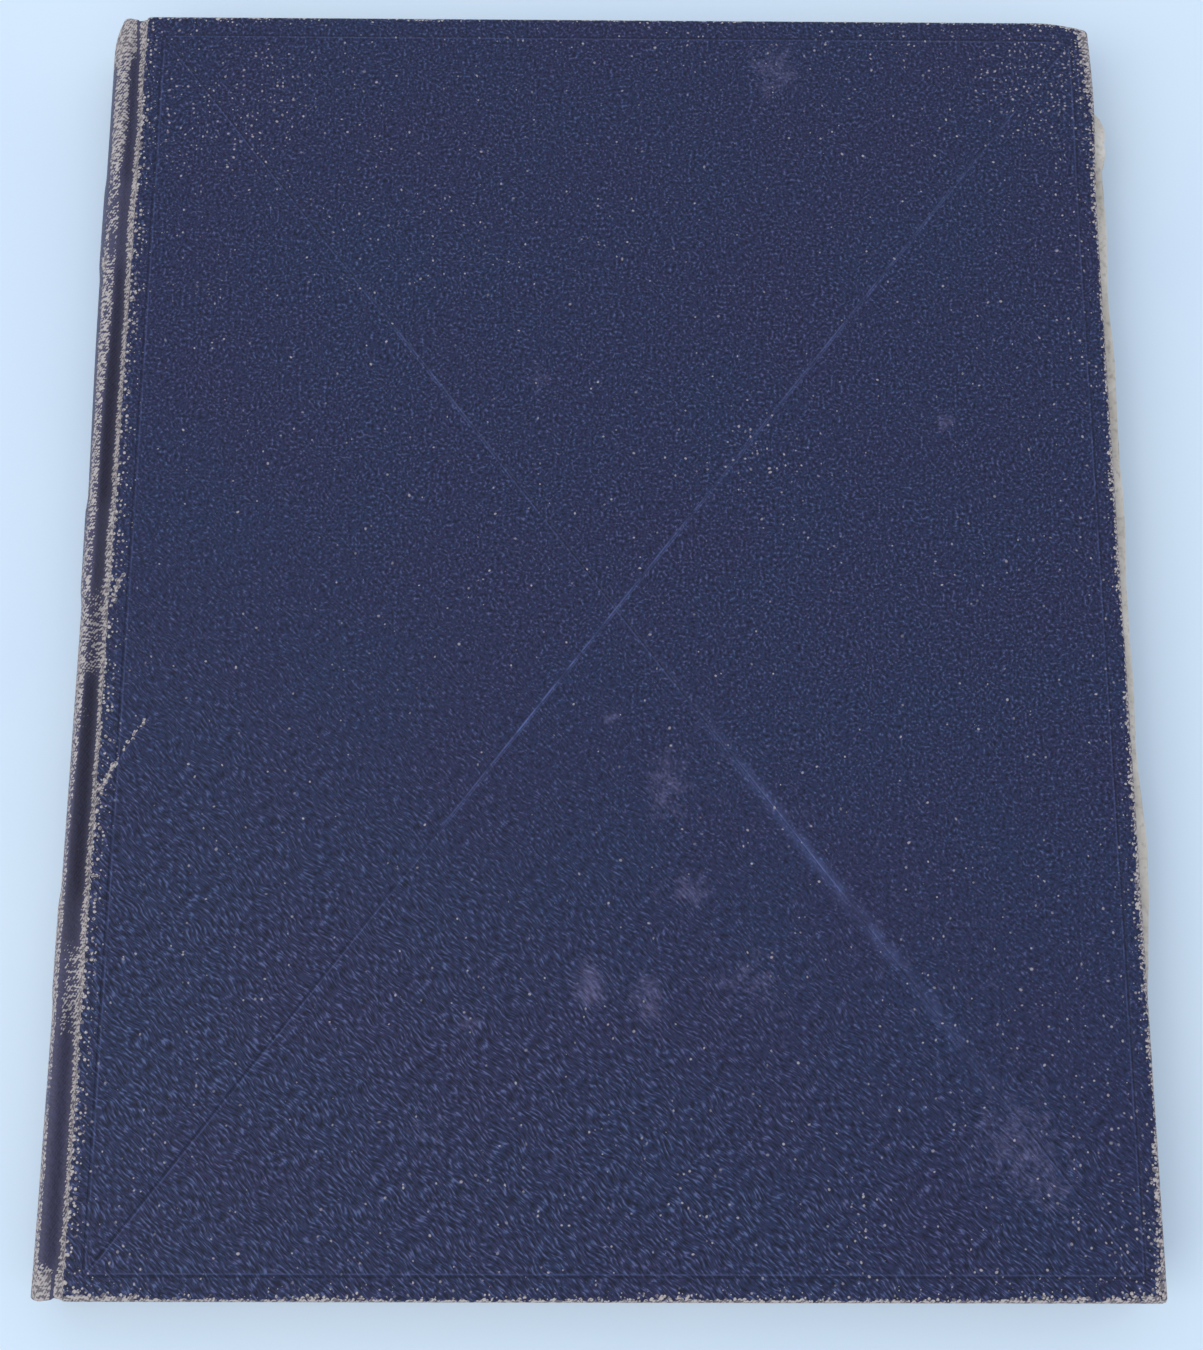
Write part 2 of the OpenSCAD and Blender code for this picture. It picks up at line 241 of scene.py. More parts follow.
def write_mesh(
    name: str,
    points: np.ndarray,
    quads: np.ndarray,
    material: bpy.types.Material,
    extras: dict[str, np.ndarray],
    rim: int,
) -> bpy.types.Object:
    """Makes an object at the origin from vertices in mm, smooth shaded, with vertex attributes.

    Args:
        name: piece name.
        points: vertices in mm.
        quads: faces.
        material: its finish.
        extras: attribute name to one float, or three, for each vertex.
        rim: how many of the last faces stay flat shaded, such as a sheet's cut rim.
    Returns:
        The linked object.
    """
    mesh = bpy.data.meshes.new(name)
    mesh.vertices.add(len(points))
    mesh.vertices.foreach_set("co", (points * MM).astype(np.float32).ravel())
    mesh.loops.add(quads.size)
    mesh.loops.foreach_set("vertex_index", quads.astype(np.int32).ravel())
    mesh.polygons.add(len(quads))
    mesh.polygons.foreach_set("loop_start", np.arange(0, quads.size, 4, dtype=np.int32))
    mesh.polygons.foreach_set("use_smooth", np.arange(len(quads)) < len(quads) - rim)
    for key, values in extras.items():
        kind, field_name = ("FLOAT_VECTOR", "vector") if values.ndim == 2 else ("FLOAT", "value")
        layer = mesh.attributes.new(key, kind, "POINT")
        layer.data.foreach_set(field_name, values.astype(np.float32).ravel())
    mesh.update(calc_edges=True)
    mesh.validate()
    mesh.materials.append(material)
    piece = bpy.data.objects.new(name, mesh)
    bpy.context.scene.collection.objects.link(piece)
    LOG.info("%s: %d vertices, %d faces", name, len(points), len(quads))
    return piece


class Finish:
    """A new material and its node tree, empty at first."""

    def __init__(self, name: str) -> None:
        """Makes the material.

        Args:
            name: real material and process.
        """
        self.material = bpy.data.materials.new(name)
        self.material.use_nodes = True
        self.tree = self.material.node_tree
        self.tree.nodes.clear()

    def add(self, kind: str, links: dict, out: int | str = 0, **settings: object) -> Socket | None:
        """Adds a node, sets its properties, and fills or links its inputs.

        Args:
            kind: node type without the ShaderNode prefix.
            links: input name or number to a value or to an output socket.
            out: name or number of the wanted output.
            settings: node properties.
        Returns:
            That output, or None where the node has none.
        """
        node = self.tree.nodes.new("ShaderNode" + kind)
        for key, value in settings.items():
            setattr(node, key, value)
        for key, value in links.items():
            if isinstance(value, Socket):
                self.tree.links.new(value, node.inputs[key])
            else:
                node.inputs[key].default_value = value
        return node.outputs[out] if node.outputs else None


@dataclass(frozen=True)
class BookSizes:
    """Sizes of the closed book in mm: places from the frame, shape values as in the CAD source."""

    joint_x: float
    fore_x: float
    tail_y: float
    head_y: float
    total_t: float
    cover_t: float
    spine_x: float
    ridge_h: float
    half_block: float
    half_back: float
    page_tail: float
    page_head: float
    tapes: tuple[float, ...]
    tape_w: float
    leaf_t: float
    cloth_t: float = 0.35
    edge_r: float = 0.8
    turn_in: float = 15.0
    corner_r: float = 0.95
    bump_len: float = 10.0
    bump_drop: float = 1.9
    bump_fade: float = 14.0
    frayed_out: float = 1.0
    frayed_len: float = 17.0
    spine_lean: float = 0.95
    round_out: float = 1.95
    back_walls: float = 2.59
    ridge_r: float = 1.5
    groove_slope: float = 1.7
    groove_lift: float = 0.35
    shoulder_len: float = 1.1
    tape_fill: float = 0.9
    tape_fade: float = 4.0
    end_fill: float = 1.35
    waist: float = 0.4
    cap_len: float = 7.0
    cap_round: float = 2.0
    frame_side: float = 3.7
    frame_end: float = 4.4

    @classmethod
    def from_frame(cls) -> "BookSizes":
        """Reads the boxes of the CAD nodes.

        Returns:
            The book's sizes.
        """
        low, high = {}, {}
        tapes = ("tape_tail", "tape_middle", "tape_head")
        for node in ("front_cloth", "spine_cloth", "text_block", "back_flyleaf", "tape_tail"):
            low[node], high[node] = (np.array(corner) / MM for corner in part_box(node))
        total_t = float(high["front_cloth"][2])
        return cls(
            joint_x=float(low["front_cloth"][0]),
            fore_x=float(high["front_cloth"][0]),
            tail_y=float(low["front_cloth"][1]),
            head_y=float(high["front_cloth"][1]),
            total_t=total_t,
            cover_t=total_t - float(low["front_cloth"][2]),
            spine_x=float(low["spine_cloth"][0]),
            ridge_h=float(high["spine_cloth"][2]) - total_t / 2,
            half_block=total_t / 2 - float(high["back_flyleaf"][2]),
            half_back=float(high["text_block"][2]) - total_t / 2,
            page_tail=float(low["text_block"][1]),
            page_head=float(high["text_block"][1]),
            tapes=tuple(sum(corner.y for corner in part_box(node)) / 2 / MM for node in tapes),
            tape_w=float(high["tape_tail"][1] - low["tape_tail"][1]),
            leaf_t=float(high["back_flyleaf"][2] - low["back_flyleaf"][2]),
        )

    @property
    def mid_z(self) -> float:
        """Middle height of the closed book."""
        return self.total_t / 2

    @property
    def width(self) -> float:
        """Width of a cover from the joint's edge to the fore-edge."""
        return self.fore_x - self.joint_x

    @property
    def height(self) -> float:
        """Height of a cover from tail to head."""
        return self.head_y - self.tail_y

    @property
    def back_r(self) -> float:
        """Radius of the rounded back of the pages, from its chord and rise."""
        return (self.half_back**2 + self.round_out**2) / (2 * self.round_out)

    @property
    def spine_r(self) -> float:
        """Radius of the spine's outer face."""
        return self.back_r + self.back_walls

    @property
    def back_x(self) -> float:
        """Centre of the rounded back."""
        return self.spine_x + self.spine_r + self.spine_lean

    @property
    def ridge_angle(self) -> float:
        """Angle at which the spine's arc runs into the ridge."""
        return math.asin((self.ridge_h - self.ridge_r) / (self.spine_r - self.ridge_r))

    @property
    def ridge_x(self) -> float:
        """Top of the ridge in plan."""
        return self.back_x - (self.spine_r - self.ridge_r) * math.cos(self.ridge_angle)

    @property
    def hinge_x(self) -> float:
        """Line of the joint's hinge in plan, at the groove's floor."""
        return self.joint_x - self.groove_slope

    @property
    def neck_x(self) -> float:
        """Place where the shoulders of the pages run out into their flat faces."""
        return self.back_x - math.sqrt(self.back_r**2 - self.half_back**2) + self.shoulder_len

    def over_tape(self, y: np.ndarray) -> np.ndarray:
        """How strongly a tape is felt: 1 over a tape, 0 from the fade's length beside it.

        Args:
            y: places along the book.
        Returns:
            A share for each place.
        """
        half = self.tape_w / 2
        near = [1 - smooth(half, half + self.tape_fade, np.abs(y - c)) for c in self.tapes]
        return np.max(near, axis=0)

    def drawn_in(self, y: np.ndarray) -> np.ndarray:
        """How far the spine is drawn in: waist between tapes, loose head end, rounded cap.

        Args:
            y: places along the book.
        Returns:
            mm towards the fore-edge for each place.
        """
        share = np.clip((y - self.tail_y) / self.height, 0, 1)
        cap = np.clip((y - self.head_y + self.cap_len) / self.cap_len, 0, 1)
        between = self.waist * np.sin(math.pi * share) ** 0.6 * (1 - self.over_tape(y))
        cap_in = self.cap_round * (1 - np.sqrt(1 - cap * cap))
        return between - self.spine_lean * smooth(0.5, 0.78, share) + cap_in


@dataclass(frozen=True)
class WornBookCloth:
    """Sized cotton book cloth, calendered with a pebble grain and dyed dark blue.

    The size gives a low, broad shine on the grain's tops, and a painted highlight makes the tops
    lighter in colour too. Rubbing takes tops off first, so worn edges are toothed with grain, and
    under the size the tan cotton weave shows, dull and dry.
    Patterns follow the vertex attribute "sheet": millimetres on the cloth laid out flat. Each step
    reads sockets from a dictionary of named parts and adds its own.
    """

    # Grain hollows and ruled furrows: partly the cloth's own darker tone, partly painted shade
    hollow_tone_and_shade_hex: str = "#141930"
    top_hex: str = "#2c3c64"
    violet_hex: str = "#35365f"
    # Colour of the painted highlight on the grain's tops
    ridge_highlight_hex: str = "#7180ac"
    # Colour of rubbed line floors and the crease, and of the painted highlight on the ruled lines'
    # edges
    rub_highlight_hex: str = "#6170a8"
    spine_hex: str = "#5b586f"
    scuff_hex: str = "#6f6c93"
    speck_hex: str = "#a59ea8"
    thread_hex: str = "#c4bdbb"
    gap_hex: str = "#3f3b4c"
    # Colour of the painted shade in the joint groove and on the ridge's fall
    groove_shade_hex: str = "#1b1a22"
    # Sizes on the flat cloth: wander of the grain, its folds and pebbles, pinpricks, teeth, threads
    wander_mm: float = 7.0
    wander_by_mm: tuple[float, float, float] = (2.0, 2.0, 0.0)
    grain_mm: float = 0.39
    grain_stretch: float = 4.0
    pebble_mm: float = 0.56
    hole_mm: float = 1.15
    tooth_mm: float = 0.78
    grain_turn_deg: float = -43.0
    thread_mm: float = 0.52
    thread_turn_deg: float = 58.0
    # Depths of the relief, and how far beside a ruled line its painted highlight edge lies
    grain_deep_mm: float = 0.1
    weave_deep_mm: float = 0.09
    rule_deep_mm: float = 0.12
    rule_highlight_mm: float = 0.42
    # Noises on the sheet: size in mm, detail and roughness
    noises: tuple[tuple[str, float, float, float], ...] = (
        ("patch", 1.1, 2.0, 0.5),
        ("wide", 30, 3.0, 0.5),
        ("ragged", 2.6, 4.0, 0.72),
        ("chance", 3, 2.0, 0.5),
        ("broken", 5, 3.0, 0.5),
    )

    def build(self) -> bpy.types.Material:
        """Builds the cloth's node tree.

        Returns:
            The material.
        """
        finish = Finish("book_cloth_pebble_grained_cotton")
        add = finish.add
        sheet = add("Attribute", {}, "Vector", attribute_name="sheet")
        lines = add("Attribute", {}, "Vector", attribute_name="lines")
        parts = {"sheet": sheet}
        parts.update(zip(("frame", "rise", "fall"), add("SeparateXYZ", {0: lines}).node.outputs))
        for key in SURFACE_VALUES:
            parts[key] = add("Attribute", {}, "Fac", attribute_name=key)
        for key, size, detail, rough in self.noises:
            links = {"Vector": sheet, "Scale": 1 / size, "Detail": detail, "Roughness": rough}
            parts[key] = add("TexNoise", links, noise_dimensions="2D")
        for step in (self._grain, self._thread, self._ruling, self._worn):
            step(finish, parts)
        links = {
            "Base Color": self._colour(finish, parts),
            "Roughness": add("MapRange", {"Value": parts["worn"], "To Min": 0.46, "To Max": 0.9}),
            "Normal": self._relief(finish, parts),
            "IOR": 1.46,
            "Specular IOR Level": 0.24,
        }
        surface = add("BsdfPrincipled", links)
        add("OutputMaterial", {"Surface": surface}, is_active_output=True)
        return finish.material

    def _grain(self, finish: Finish, parts: Parts) -> None:
        """Pebble grain: drawn out into short folds where the roller dragged, round elsewhere.

        Adds "grain", its height, "ridges", its tops, which get a painted highlight, and "holes",
        pinpricks in the size.

        Args:
            finish: the material's tree.
            parts: named sockets so far.
        """
        add, sheet = finish.add, parts["sheet"]
        links = {"Vector": sheet, "Scale": 1 / self.wander_mm, "Detail": 1.0}
        wander = add("TexNoise", links, "Color", noise_dimensions="2D")
        shift = add("VectorMath", {0: wander, 1: (0.5, 0.5, 0.5)}, operation="SUBTRACT")
        links = {0: shift, 1: self.wander_by_mm, 2: sheet}
        bent = add("VectorMath", links, operation="MULTIPLY_ADD")
        turned = add(
            "Mapping",
            {
                "Vector": bent,
                "Rotation": (0.0, 0.0, math.radians(self.grain_turn_deg)),
                "Scale": (self.grain_mm * self.grain_stretch, self.grain_mm, 1.0),
            },
            vector_type="TEXTURE",
        )
        folds = {"Vector": turned, "Scale": 1.0, "Detail": 1.5}
        pebbles = {"Vector": bent, "Scale": 1 / self.pebble_mm, "Detail": 1.5}
        kinds = [add("TexNoise", links, noise_dimensions="2D") for links in (pebbles, folds)]
        both = add("Mix", {"Factor": parts["drag"], 2: kinds[0], 3: kinds[1]})
        parts["grain"] = add("MapRange", {"Value": both, "From Min": 0.3, "From Max": 0.72})
        parts["ridges"] = add("MapRange", {"Value": both, "From Min": 0.585, "From Max": 0.76})
        holes = {"Vector": bent, "Scale": 1 / self.hole_mm, "Randomness": 1.0}
        holes = add("TexVoronoi", holes, voronoi_dimensions="2D").node.outputs
        lot = add("SeparateXYZ", {0: holes["Color"]}).node.outputs
        chosen = add("Math", {0: lot[0], 1: parts["specks"]}, operation="LESS_THAN")
        reach = add("Math", {0: lot[1], 1: 0.14, 2: 0.14}, operation="MULTIPLY_ADD")
        near = add("Math", {0: holes["Distance"], 1: reach}, operation="DIVIDE")
        spot = add("MapRange", {"Value": near, "From Min": 1.0, "From Max": 0.55})
        faint = add("MapRange", {"Value": lot[2], "To Min": 0.25, "To Max": 1.0})
        spot = add("Math", {0: chosen, 1: spot}, operation="MULTIPLY")
        parts["holes"] = add("Math", {0: spot, 1: faint}, operation="MULTIPLY")

    def _thread(self, finish: Finish, parts: Parts) -> None:
        """Cotton weave: slanting runs of threads, broken by uneven floats across the spine.

        Adds "thread", its height. The floats are drawn twice as long as they are wide, so that
        they show at the render's size.

        Args:
            finish: the material's tree.
            parts: named sockets so far.
        """
        add, sheet = finish.add, parts["sheet"]
        turn = (0.0, 0.0, math.radians(self.thread_turn_deg))
        slanted = add("Mapping", {"Vector": sheet, "Rotation": turn}, vector_type="TEXTURE")
        runs = add(
            "TexWave",
            {
                "Vector": slanted,
                "Scale": math.pi / (10 * self.thread_mm),
                "Distortion": 2.2,
                "Detail": 1.0,
                "Detail Scale": 3.0,
            },
            "Fac",
            bands_direction="Y",
        )
        size = (2.1 * self.thread_mm, 1.05 * self.thread_mm, 1.0)
        lying = add("Mapping", {"Vector": sheet, "Scale": size}, vector_type="TEXTURE")
        links = {"Vector": lying, "Scale": 1.0, "Detail": 1.0}
        floats = add("TexNoise", links, noise_dimensions="2D")
        floats = add("MapRange", {"Value": floats, "From Min": 0.36, "From Max": 0.64})
        parts["thread"] = add("Mix", {"Factor": 0.62, 2: runs, 3: floats})

    def _ruling(self, finish: Finish, parts: Parts) -> None:
        """Blind-ruled lines from the distances kept on the vertices.

        Each line is a narrow furrow. Its edge towards the light gets a faint painted highlight, its
        floor is rubbed lighter in places, and the soft crease beside the falling diagonal is
        lighter too.
        Adds "ruled", the depth of a line, and "lit", how much lighter the cloth at it is: rubbed
        floors, the crease, and the painted highlight on the edge.

        Args:
            finish: the material's tree.
            parts: named sockets so far.
        """
        add = finish.add
        away, floors, edges = [], [], []
        for key in ("frame", "rise", "fall"):
            away.append(add("Math", {0: parts[key]}, operation="ABSOLUTE"))
            beside = add("Math", {0: parts[key], 1: self.rule_highlight_mm}, operation="ADD")
            edge = add("Math", {0: beside}, operation="ABSOLUTE")
            for value, half, shares in ((away[-1], 0.3, floors), (edge, 0.24, edges)):
                links = {"Value": value, "From Max": half, "To Min": 1.0, "To Max": 0.0}
                shares.append(add("MapRange", links, interpolation_type="SMOOTHSTEP"))
        crossed = add("Math", {0: floors[1], 1: floors[2]}, operation="MAXIMUM")
        parts["ruled"] = add("Math", {0: floors[0], 1: crossed}, operation="MAXIMUM")
        thin = add("Math", {0: crossed, 1: parts["rub"]}, operation="MULTIPLY")
        # painted highlight on each ruled line's edge towards the light
        side = add("Math", {0: edges[1], 1: edges[2]}, operation="MAXIMUM")
        side = add("Math", {0: edges[0], 1: side}, operation="MAXIMUM")
        side = add("Math", {0: side, 1: 0.24}, operation="MULTIPLY")
        links = {"Value": away[2], "From Max": 2.4, "To Min": 0.22, "To Max": 0.0}
        broad = add("MapRange", links, interpolation_type="SMOOTHERSTEP")
        soft = add("Math", {0: broad, 1: parts["crease"]}, operation="MULTIPLY")
        lit = add("Math", {0: thin, 1: soft}, operation="MAXIMUM")
        lit = add("Math", {0: lit, 1: side}, operation="MAXIMUM")
        links = {"Value": parts["broken"], "From Min": 0.34, "From Max": 0.6, "To Min": 0.3}
        broken = add("MapRange", links)
        parts["lit"] = add("Math", {0: lit, 1: broken}, operation="MULTIPLY")

    def _worn(self, finish: Finish, parts: Parts) -> None:
        """Adds "worn": where the blue is gone.

        The height of a tooth of the grain, or of a thread where the weave shows, plus the wear,
        plus 0.3 of chance, has to pass 1.1. A tooth is a cell's middle with a height of its own.
        Beside a tear the wear is 0.72 higher, which fades to nothing 0.8 mm away.

        Args:
            finish: the material's tree.
            parts: named sockets so far.
        """
        add = finish.add
        cells = {"Vector": parts["sheet"], "Scale": 1 / self.tooth_mm, "Randomness": 1.0}
        cells = add("TexVoronoi", cells, voronoi_dimensions="2D").node.outputs
        links = {"Value": cells["Distance"], "From Max": 0.62, "To Min": 0.5, "To Max": 0.0}
        middle = add("MapRange", links)
        lot = add("SeparateXYZ", {0: cells["Color"]})
        teeth = add("Math", {0: lot, 1: 0.5, 2: middle}, operation="MULTIPLY_ADD")
        frayed = add("Mix", {"Factor": 0.3, 2: parts["thread"], 3: teeth})
        raised = add("Mix", {"Factor": parts["weave"], 2: teeth, 3: frayed})
        away = add("Math", {0: parts["rise"]}, operation="ABSOLUTE")
        close = add("MapRange", {"Value": away, "From Max": 0.8, "To Min": 0.72, "To Max": 0.0})
        links = {0: close, 1: parts["torn"], 2: parts["wear"]}
        ripped = add("Math", links, operation="MULTIPLY_ADD")
        high = add("Math", {0: raised, 1: ripped}, operation="ADD")
        value = add("Math", {0: parts["chance"], 1: 0.3, 2: high}, operation="MULTIPLY_ADD")
        links = {"Value": value, "From Min": 1.1, "From Max": 1.2}
        parts["worn"] = add("MapRange", links, interpolation_type="SMOOTHSTEP")

    def _colour(self, finish: Finish, parts: Parts) -> Socket:
        """Uneven blue, darker in the grain's hollows (partly own tone, partly painted shade), under
        layers that each cover what is below them.

        Args:
            finish: the material's tree.
            parts: named sockets so far.
        Returns:
            The colour.
        """
        add = finish.add
        uneven = add("Mix", {"Factor": 0.4, 2: parts["patch"], 3: parts["wide"]})
        faded = add("MapRange", {"Value": uneven, "From Min": 0.4, "From Max": 0.62})
        links = {"Factor": faded, 6: linear(self.top_hex), 7: linear(self.violet_hex)}
        tops = add("Mix", links, 2, data_type="RGBA")
        # darker in the grain's hollows: partly the cloth's own tone, partly painted shade
        links = {"Factor": parts["grain"], 6: linear(self.hollow_tone_and_shade_hex), 7: tops}
        colour = add("Mix", links, 2, data_type="RGBA")
        # painted highlight on the grain's tops, its strength from the vertex values
        bright = add("Math", {0: parts["ridges"], 1: parts["gloss"]}, operation="MULTIPLY")
        torn = add("Math", {0: parts["ragged"], 1: 1.5, 2: -0.75}, operation="MULTIPLY_ADD")
        edge = add("Math", {0: parts["scuff"], 1: torn}, operation="ADD")
        links = {"Value": edge, "From Min": 0.22, "From Max": 1.1, "To Max": 0.85}
        rubbed = add("MapRange", links)
        mottle = add("MapRange", {"Value": parts["grain"], "To Min": 0.3, "To Max": 1.0})
        rubbed = add("Math", {0: rubbed, 1: mottle}, operation="MULTIPLY")
        # ruled furrows and tears darkened to the hollows' colour: partly the tooling's own
        # darkening, partly painted shade
        links = {0: parts["ruled"], 1: parts["lit"]}
        pressed = add("Math", links, operation="SUBTRACT", use_clamp=True)
        pressed = add("Math", {0: pressed, 1: 0.6}, operation="MULTIPLY")
        aged = add("Math", {0: parts["weave"], 1: 0.55}, operation="MULTIPLY")
        links = {"Value": parts["thread"], "From Min": 0.34, "From Max": 0.64}
        depth = add("MapRange", {**links, "To Min": 0.22, "To Max": 0.84})
        links = {"Factor": depth, 6: linear(self.gap_hex), 7: linear(self.thread_hex)}
        bare = add("Mix", links, 2, data_type="RGBA")
        layers = (
            (bright, linear(self.ridge_highlight_hex)),
            (rubbed, linear(self.scuff_hex)),
            # rubbed line floors and crease, and the painted highlight on the ruled edges
            (parts["lit"], linear(self.rub_highlight_hex)),
            (pressed, linear(self.hollow_tone_and_shade_hex)),
            (parts["holes"], linear(self.speck_hex)),
            (aged, linear(self.spine_hex)),
            (parts["worn"], bare),
            # painted shade in the groove and on the ridge's fall, over all other layers
            (parts["soot"], linear(self.groove_shade_hex)),
        )
        for share, over in layers:
            colour = add("Mix", {"Factor": share, 6: colour, 7: over}, 2, data_type="RGBA")
        return colour

    def _relief(self, finish: Finish, parts: Parts) -> Socket:
        """Bump in mm: the grain, or the weave where it is bare, with the ruled lines cut in.

        Args:
            finish: the material's tree.
            parts: named sockets so far.
        Returns:
            The normal.
        """
        add = finish.add
        bare = add("Math", {0: parts["worn"], 1: parts["weave"]}, operation="MAXIMUM")
        grain = add("Math", {0: parts["grain"], 1: self.grain_deep_mm}, operation="MULTIPLY")
        thread = add("Math", {0: parts["thread"], 1: self.weave_deep_mm}, operation="MULTIPLY")
        height = add("Mix", {"Factor": bare, 2: grain, 3: thread})
        links = {0: parts["ruled"], 1: -self.rule_deep_mm, 2: height}
        cut = add("Math", links, operation="MULTIPLY_ADD")
        return add("Bump", {"Height": cut, "Distance": MM, "Strength": 1.0})


@dataclass(frozen=True)
class PlainFinish:
    """A mottled, dull finish on Object coordinates, for the paper, board and tape pieces.

    Attributes:
        name: real material and process, as the material's name.
        base_hex: main colour.
        mottle_hex: colour of the toned patches.
        mottle_mm: size of the patches.
        line_mm: spacing of the fine lines along the piece: leaf edges, threads or fibres.
        line_axis: axis across the lines.
        line_share: how dark the gaps between the lines are: painted shade between leaf edges and
            threads, the sheet's own tone between chain marks and fibres.
        bump_mm: depth of the lines.
        rough: roughness.
        flatness: height of a patch over its length; small for patches that lie in the layers.
        aged_hex: colour where the vertex attribute "aged" is 1.
        gap_hex: colour of the gaps between the lines, painted shade where they are gaps between
            leaves or threads.
    """

    name: str
    base_hex: str
    mottle_hex: str
    mottle_mm: float
    line_mm: float
    line_axis: str
    line_share: float
    bump_mm: float
    rough: float
    flatness: float = 1.0
    aged_hex: str = "#9c8560"
    gap_hex: str = "#2b2722"

    def build(self) -> bpy.types.Material:
        """Builds the node tree: mottled colour, aged edges, dark between the lines (painted shade
        between leaves and threads), and a bump.

        Returns:
            The material.
        """
        finish = Finish(self.name)
        add = finish.add
        place = add("TexCoord", {}, "Object")
        in_mm = add("VectorMath", {0: place, "Scale": 1 / MM}, operation="SCALE")
        flat = (1.0, 1.0, 1 / self.flatness)
        pressed = add("VectorMath", {0: in_mm, 1: flat}, operation="MULTIPLY")
        links = {"Vector": pressed, "Scale": 1 / self.mottle_mm, "Detail": 4.0, "Roughness": 0.65}
        mix = add("MapRange", {"Value": add("TexNoise", links), "From Min": 0.35, "From Max": 0.7})
        lines = add(
            "TexWave",
            {
                "Vector": in_mm,
                "Scale": math.pi / (10 * self.line_mm),
                "Distortion": 2.0,
                "Detail": 3.0,
                "Detail Scale": 0.6,
            },
            "Fac",
            bands_direction=self.line_axis,
        )
        # dark between the lines: painted shade between leaves and threads, own tone between chain
        # marks and fibres
        links = {"Value": lines, "From Max": 0.6, "To Min": self.line_share, "To Max": 0.0}
        gap = add("MapRange", links)
        aged = add("Attribute", {}, "Fac", attribute_name="aged")
        colour = linear(self.base_hex)
        for share, over in ((mix, self.mottle_hex), (aged, self.aged_hex), (gap, self.gap_hex)):
            links = {"Factor": share, 6: colour, 7: linear(over)}
            colour = add("Mix", links, 2, data_type="RGBA")
        height = add("Math", {0: lines, 1: self.bump_mm}, operation="MULTIPLY")
        normal = add("Bump", {"Height": height, "Distance": MM, "Strength": 1.0})
        links = {"Base Color": colour, "Roughness": self.rough, "Normal": normal, "IOR": 1.5}
        add("OutputMaterial", {"Surface": add("BsdfPrincipled", links)})
        return finish.material


# Machine-made text paper, trimmed edges toned by dust and air: lines are leaf edges, drawn at twice
# their real spacing so that they show, with painted shade in the gaps between them
PAGE_EDGES = PlainFinish(
    "text_paper_toned_edges", "#dedad1", "#b4ad9f", 14, 0.24, "Z", 0.5, 0.05, 0.85, flatness=0.05
)
# Uncoated endpaper, toned cream with brown foxing; lines are the felt side's faint chain marks
ENDPAPER = PlainFinish(
    "endpaper_uncoated_toned", "#d8cfba", "#cdc2a9", 30, 1.1, "X", 0.05, 0.004, 0.8
)
# Grey-brown millboard pressed from waste fibre, with long fibres in the sheet
MILLBOARD = PlainFinish(
    "millboard_pressed_fibre", "#a3947a", "#8b7c63", 6, 0.6, "Y", 0.25, 0.02, 0.9
)
# Unbleached linen sewing tape, woven across its width
LINEN_TAPE = PlainFinish(
    "linen_tape_unbleached", "#d6cdb8", "#c3b89f", 5, 0.5, "Y", 0.35, 0.04, 0.85
)
# Open cotton spine lining with glue soaked through
LINING_CLOTH = PlainFinish(
    "spine_lining_glued_cotton", "#c6b994", "#a8946a", 7, 0.7, "Y", 0.3, 0.05, 0.7
)


@dataclass(frozen=True)
class Spots:
    """Where the cloth's vertices lie, in the terms that its wear is described in.

    Attributes:
        fx: mm from the cover's joint edge, on the flat cloth.
        fy: mm from the tail, on the flat cloth.
        lay_x: fx as the patterns use it, turned round on the back half.
        rel: mm from the cover's joint edge in plan.
        share: share of the height, from the tail.
        from_out: 0 at the spine's outermost line, 1 at the top of the ridge.
        reach: the from_out at which the spine's bared weave ends.
        crossing: 1 where the groove is bared over a tape.
    """

    fx: np.ndarray
    fy: np.ndarray
    lay_x: np.ndarray
    rel: np.ndarray
    share: np.ndarray
    from_out: np.ndarray
    reach: np.ndarray
    crossing: np.ndarray


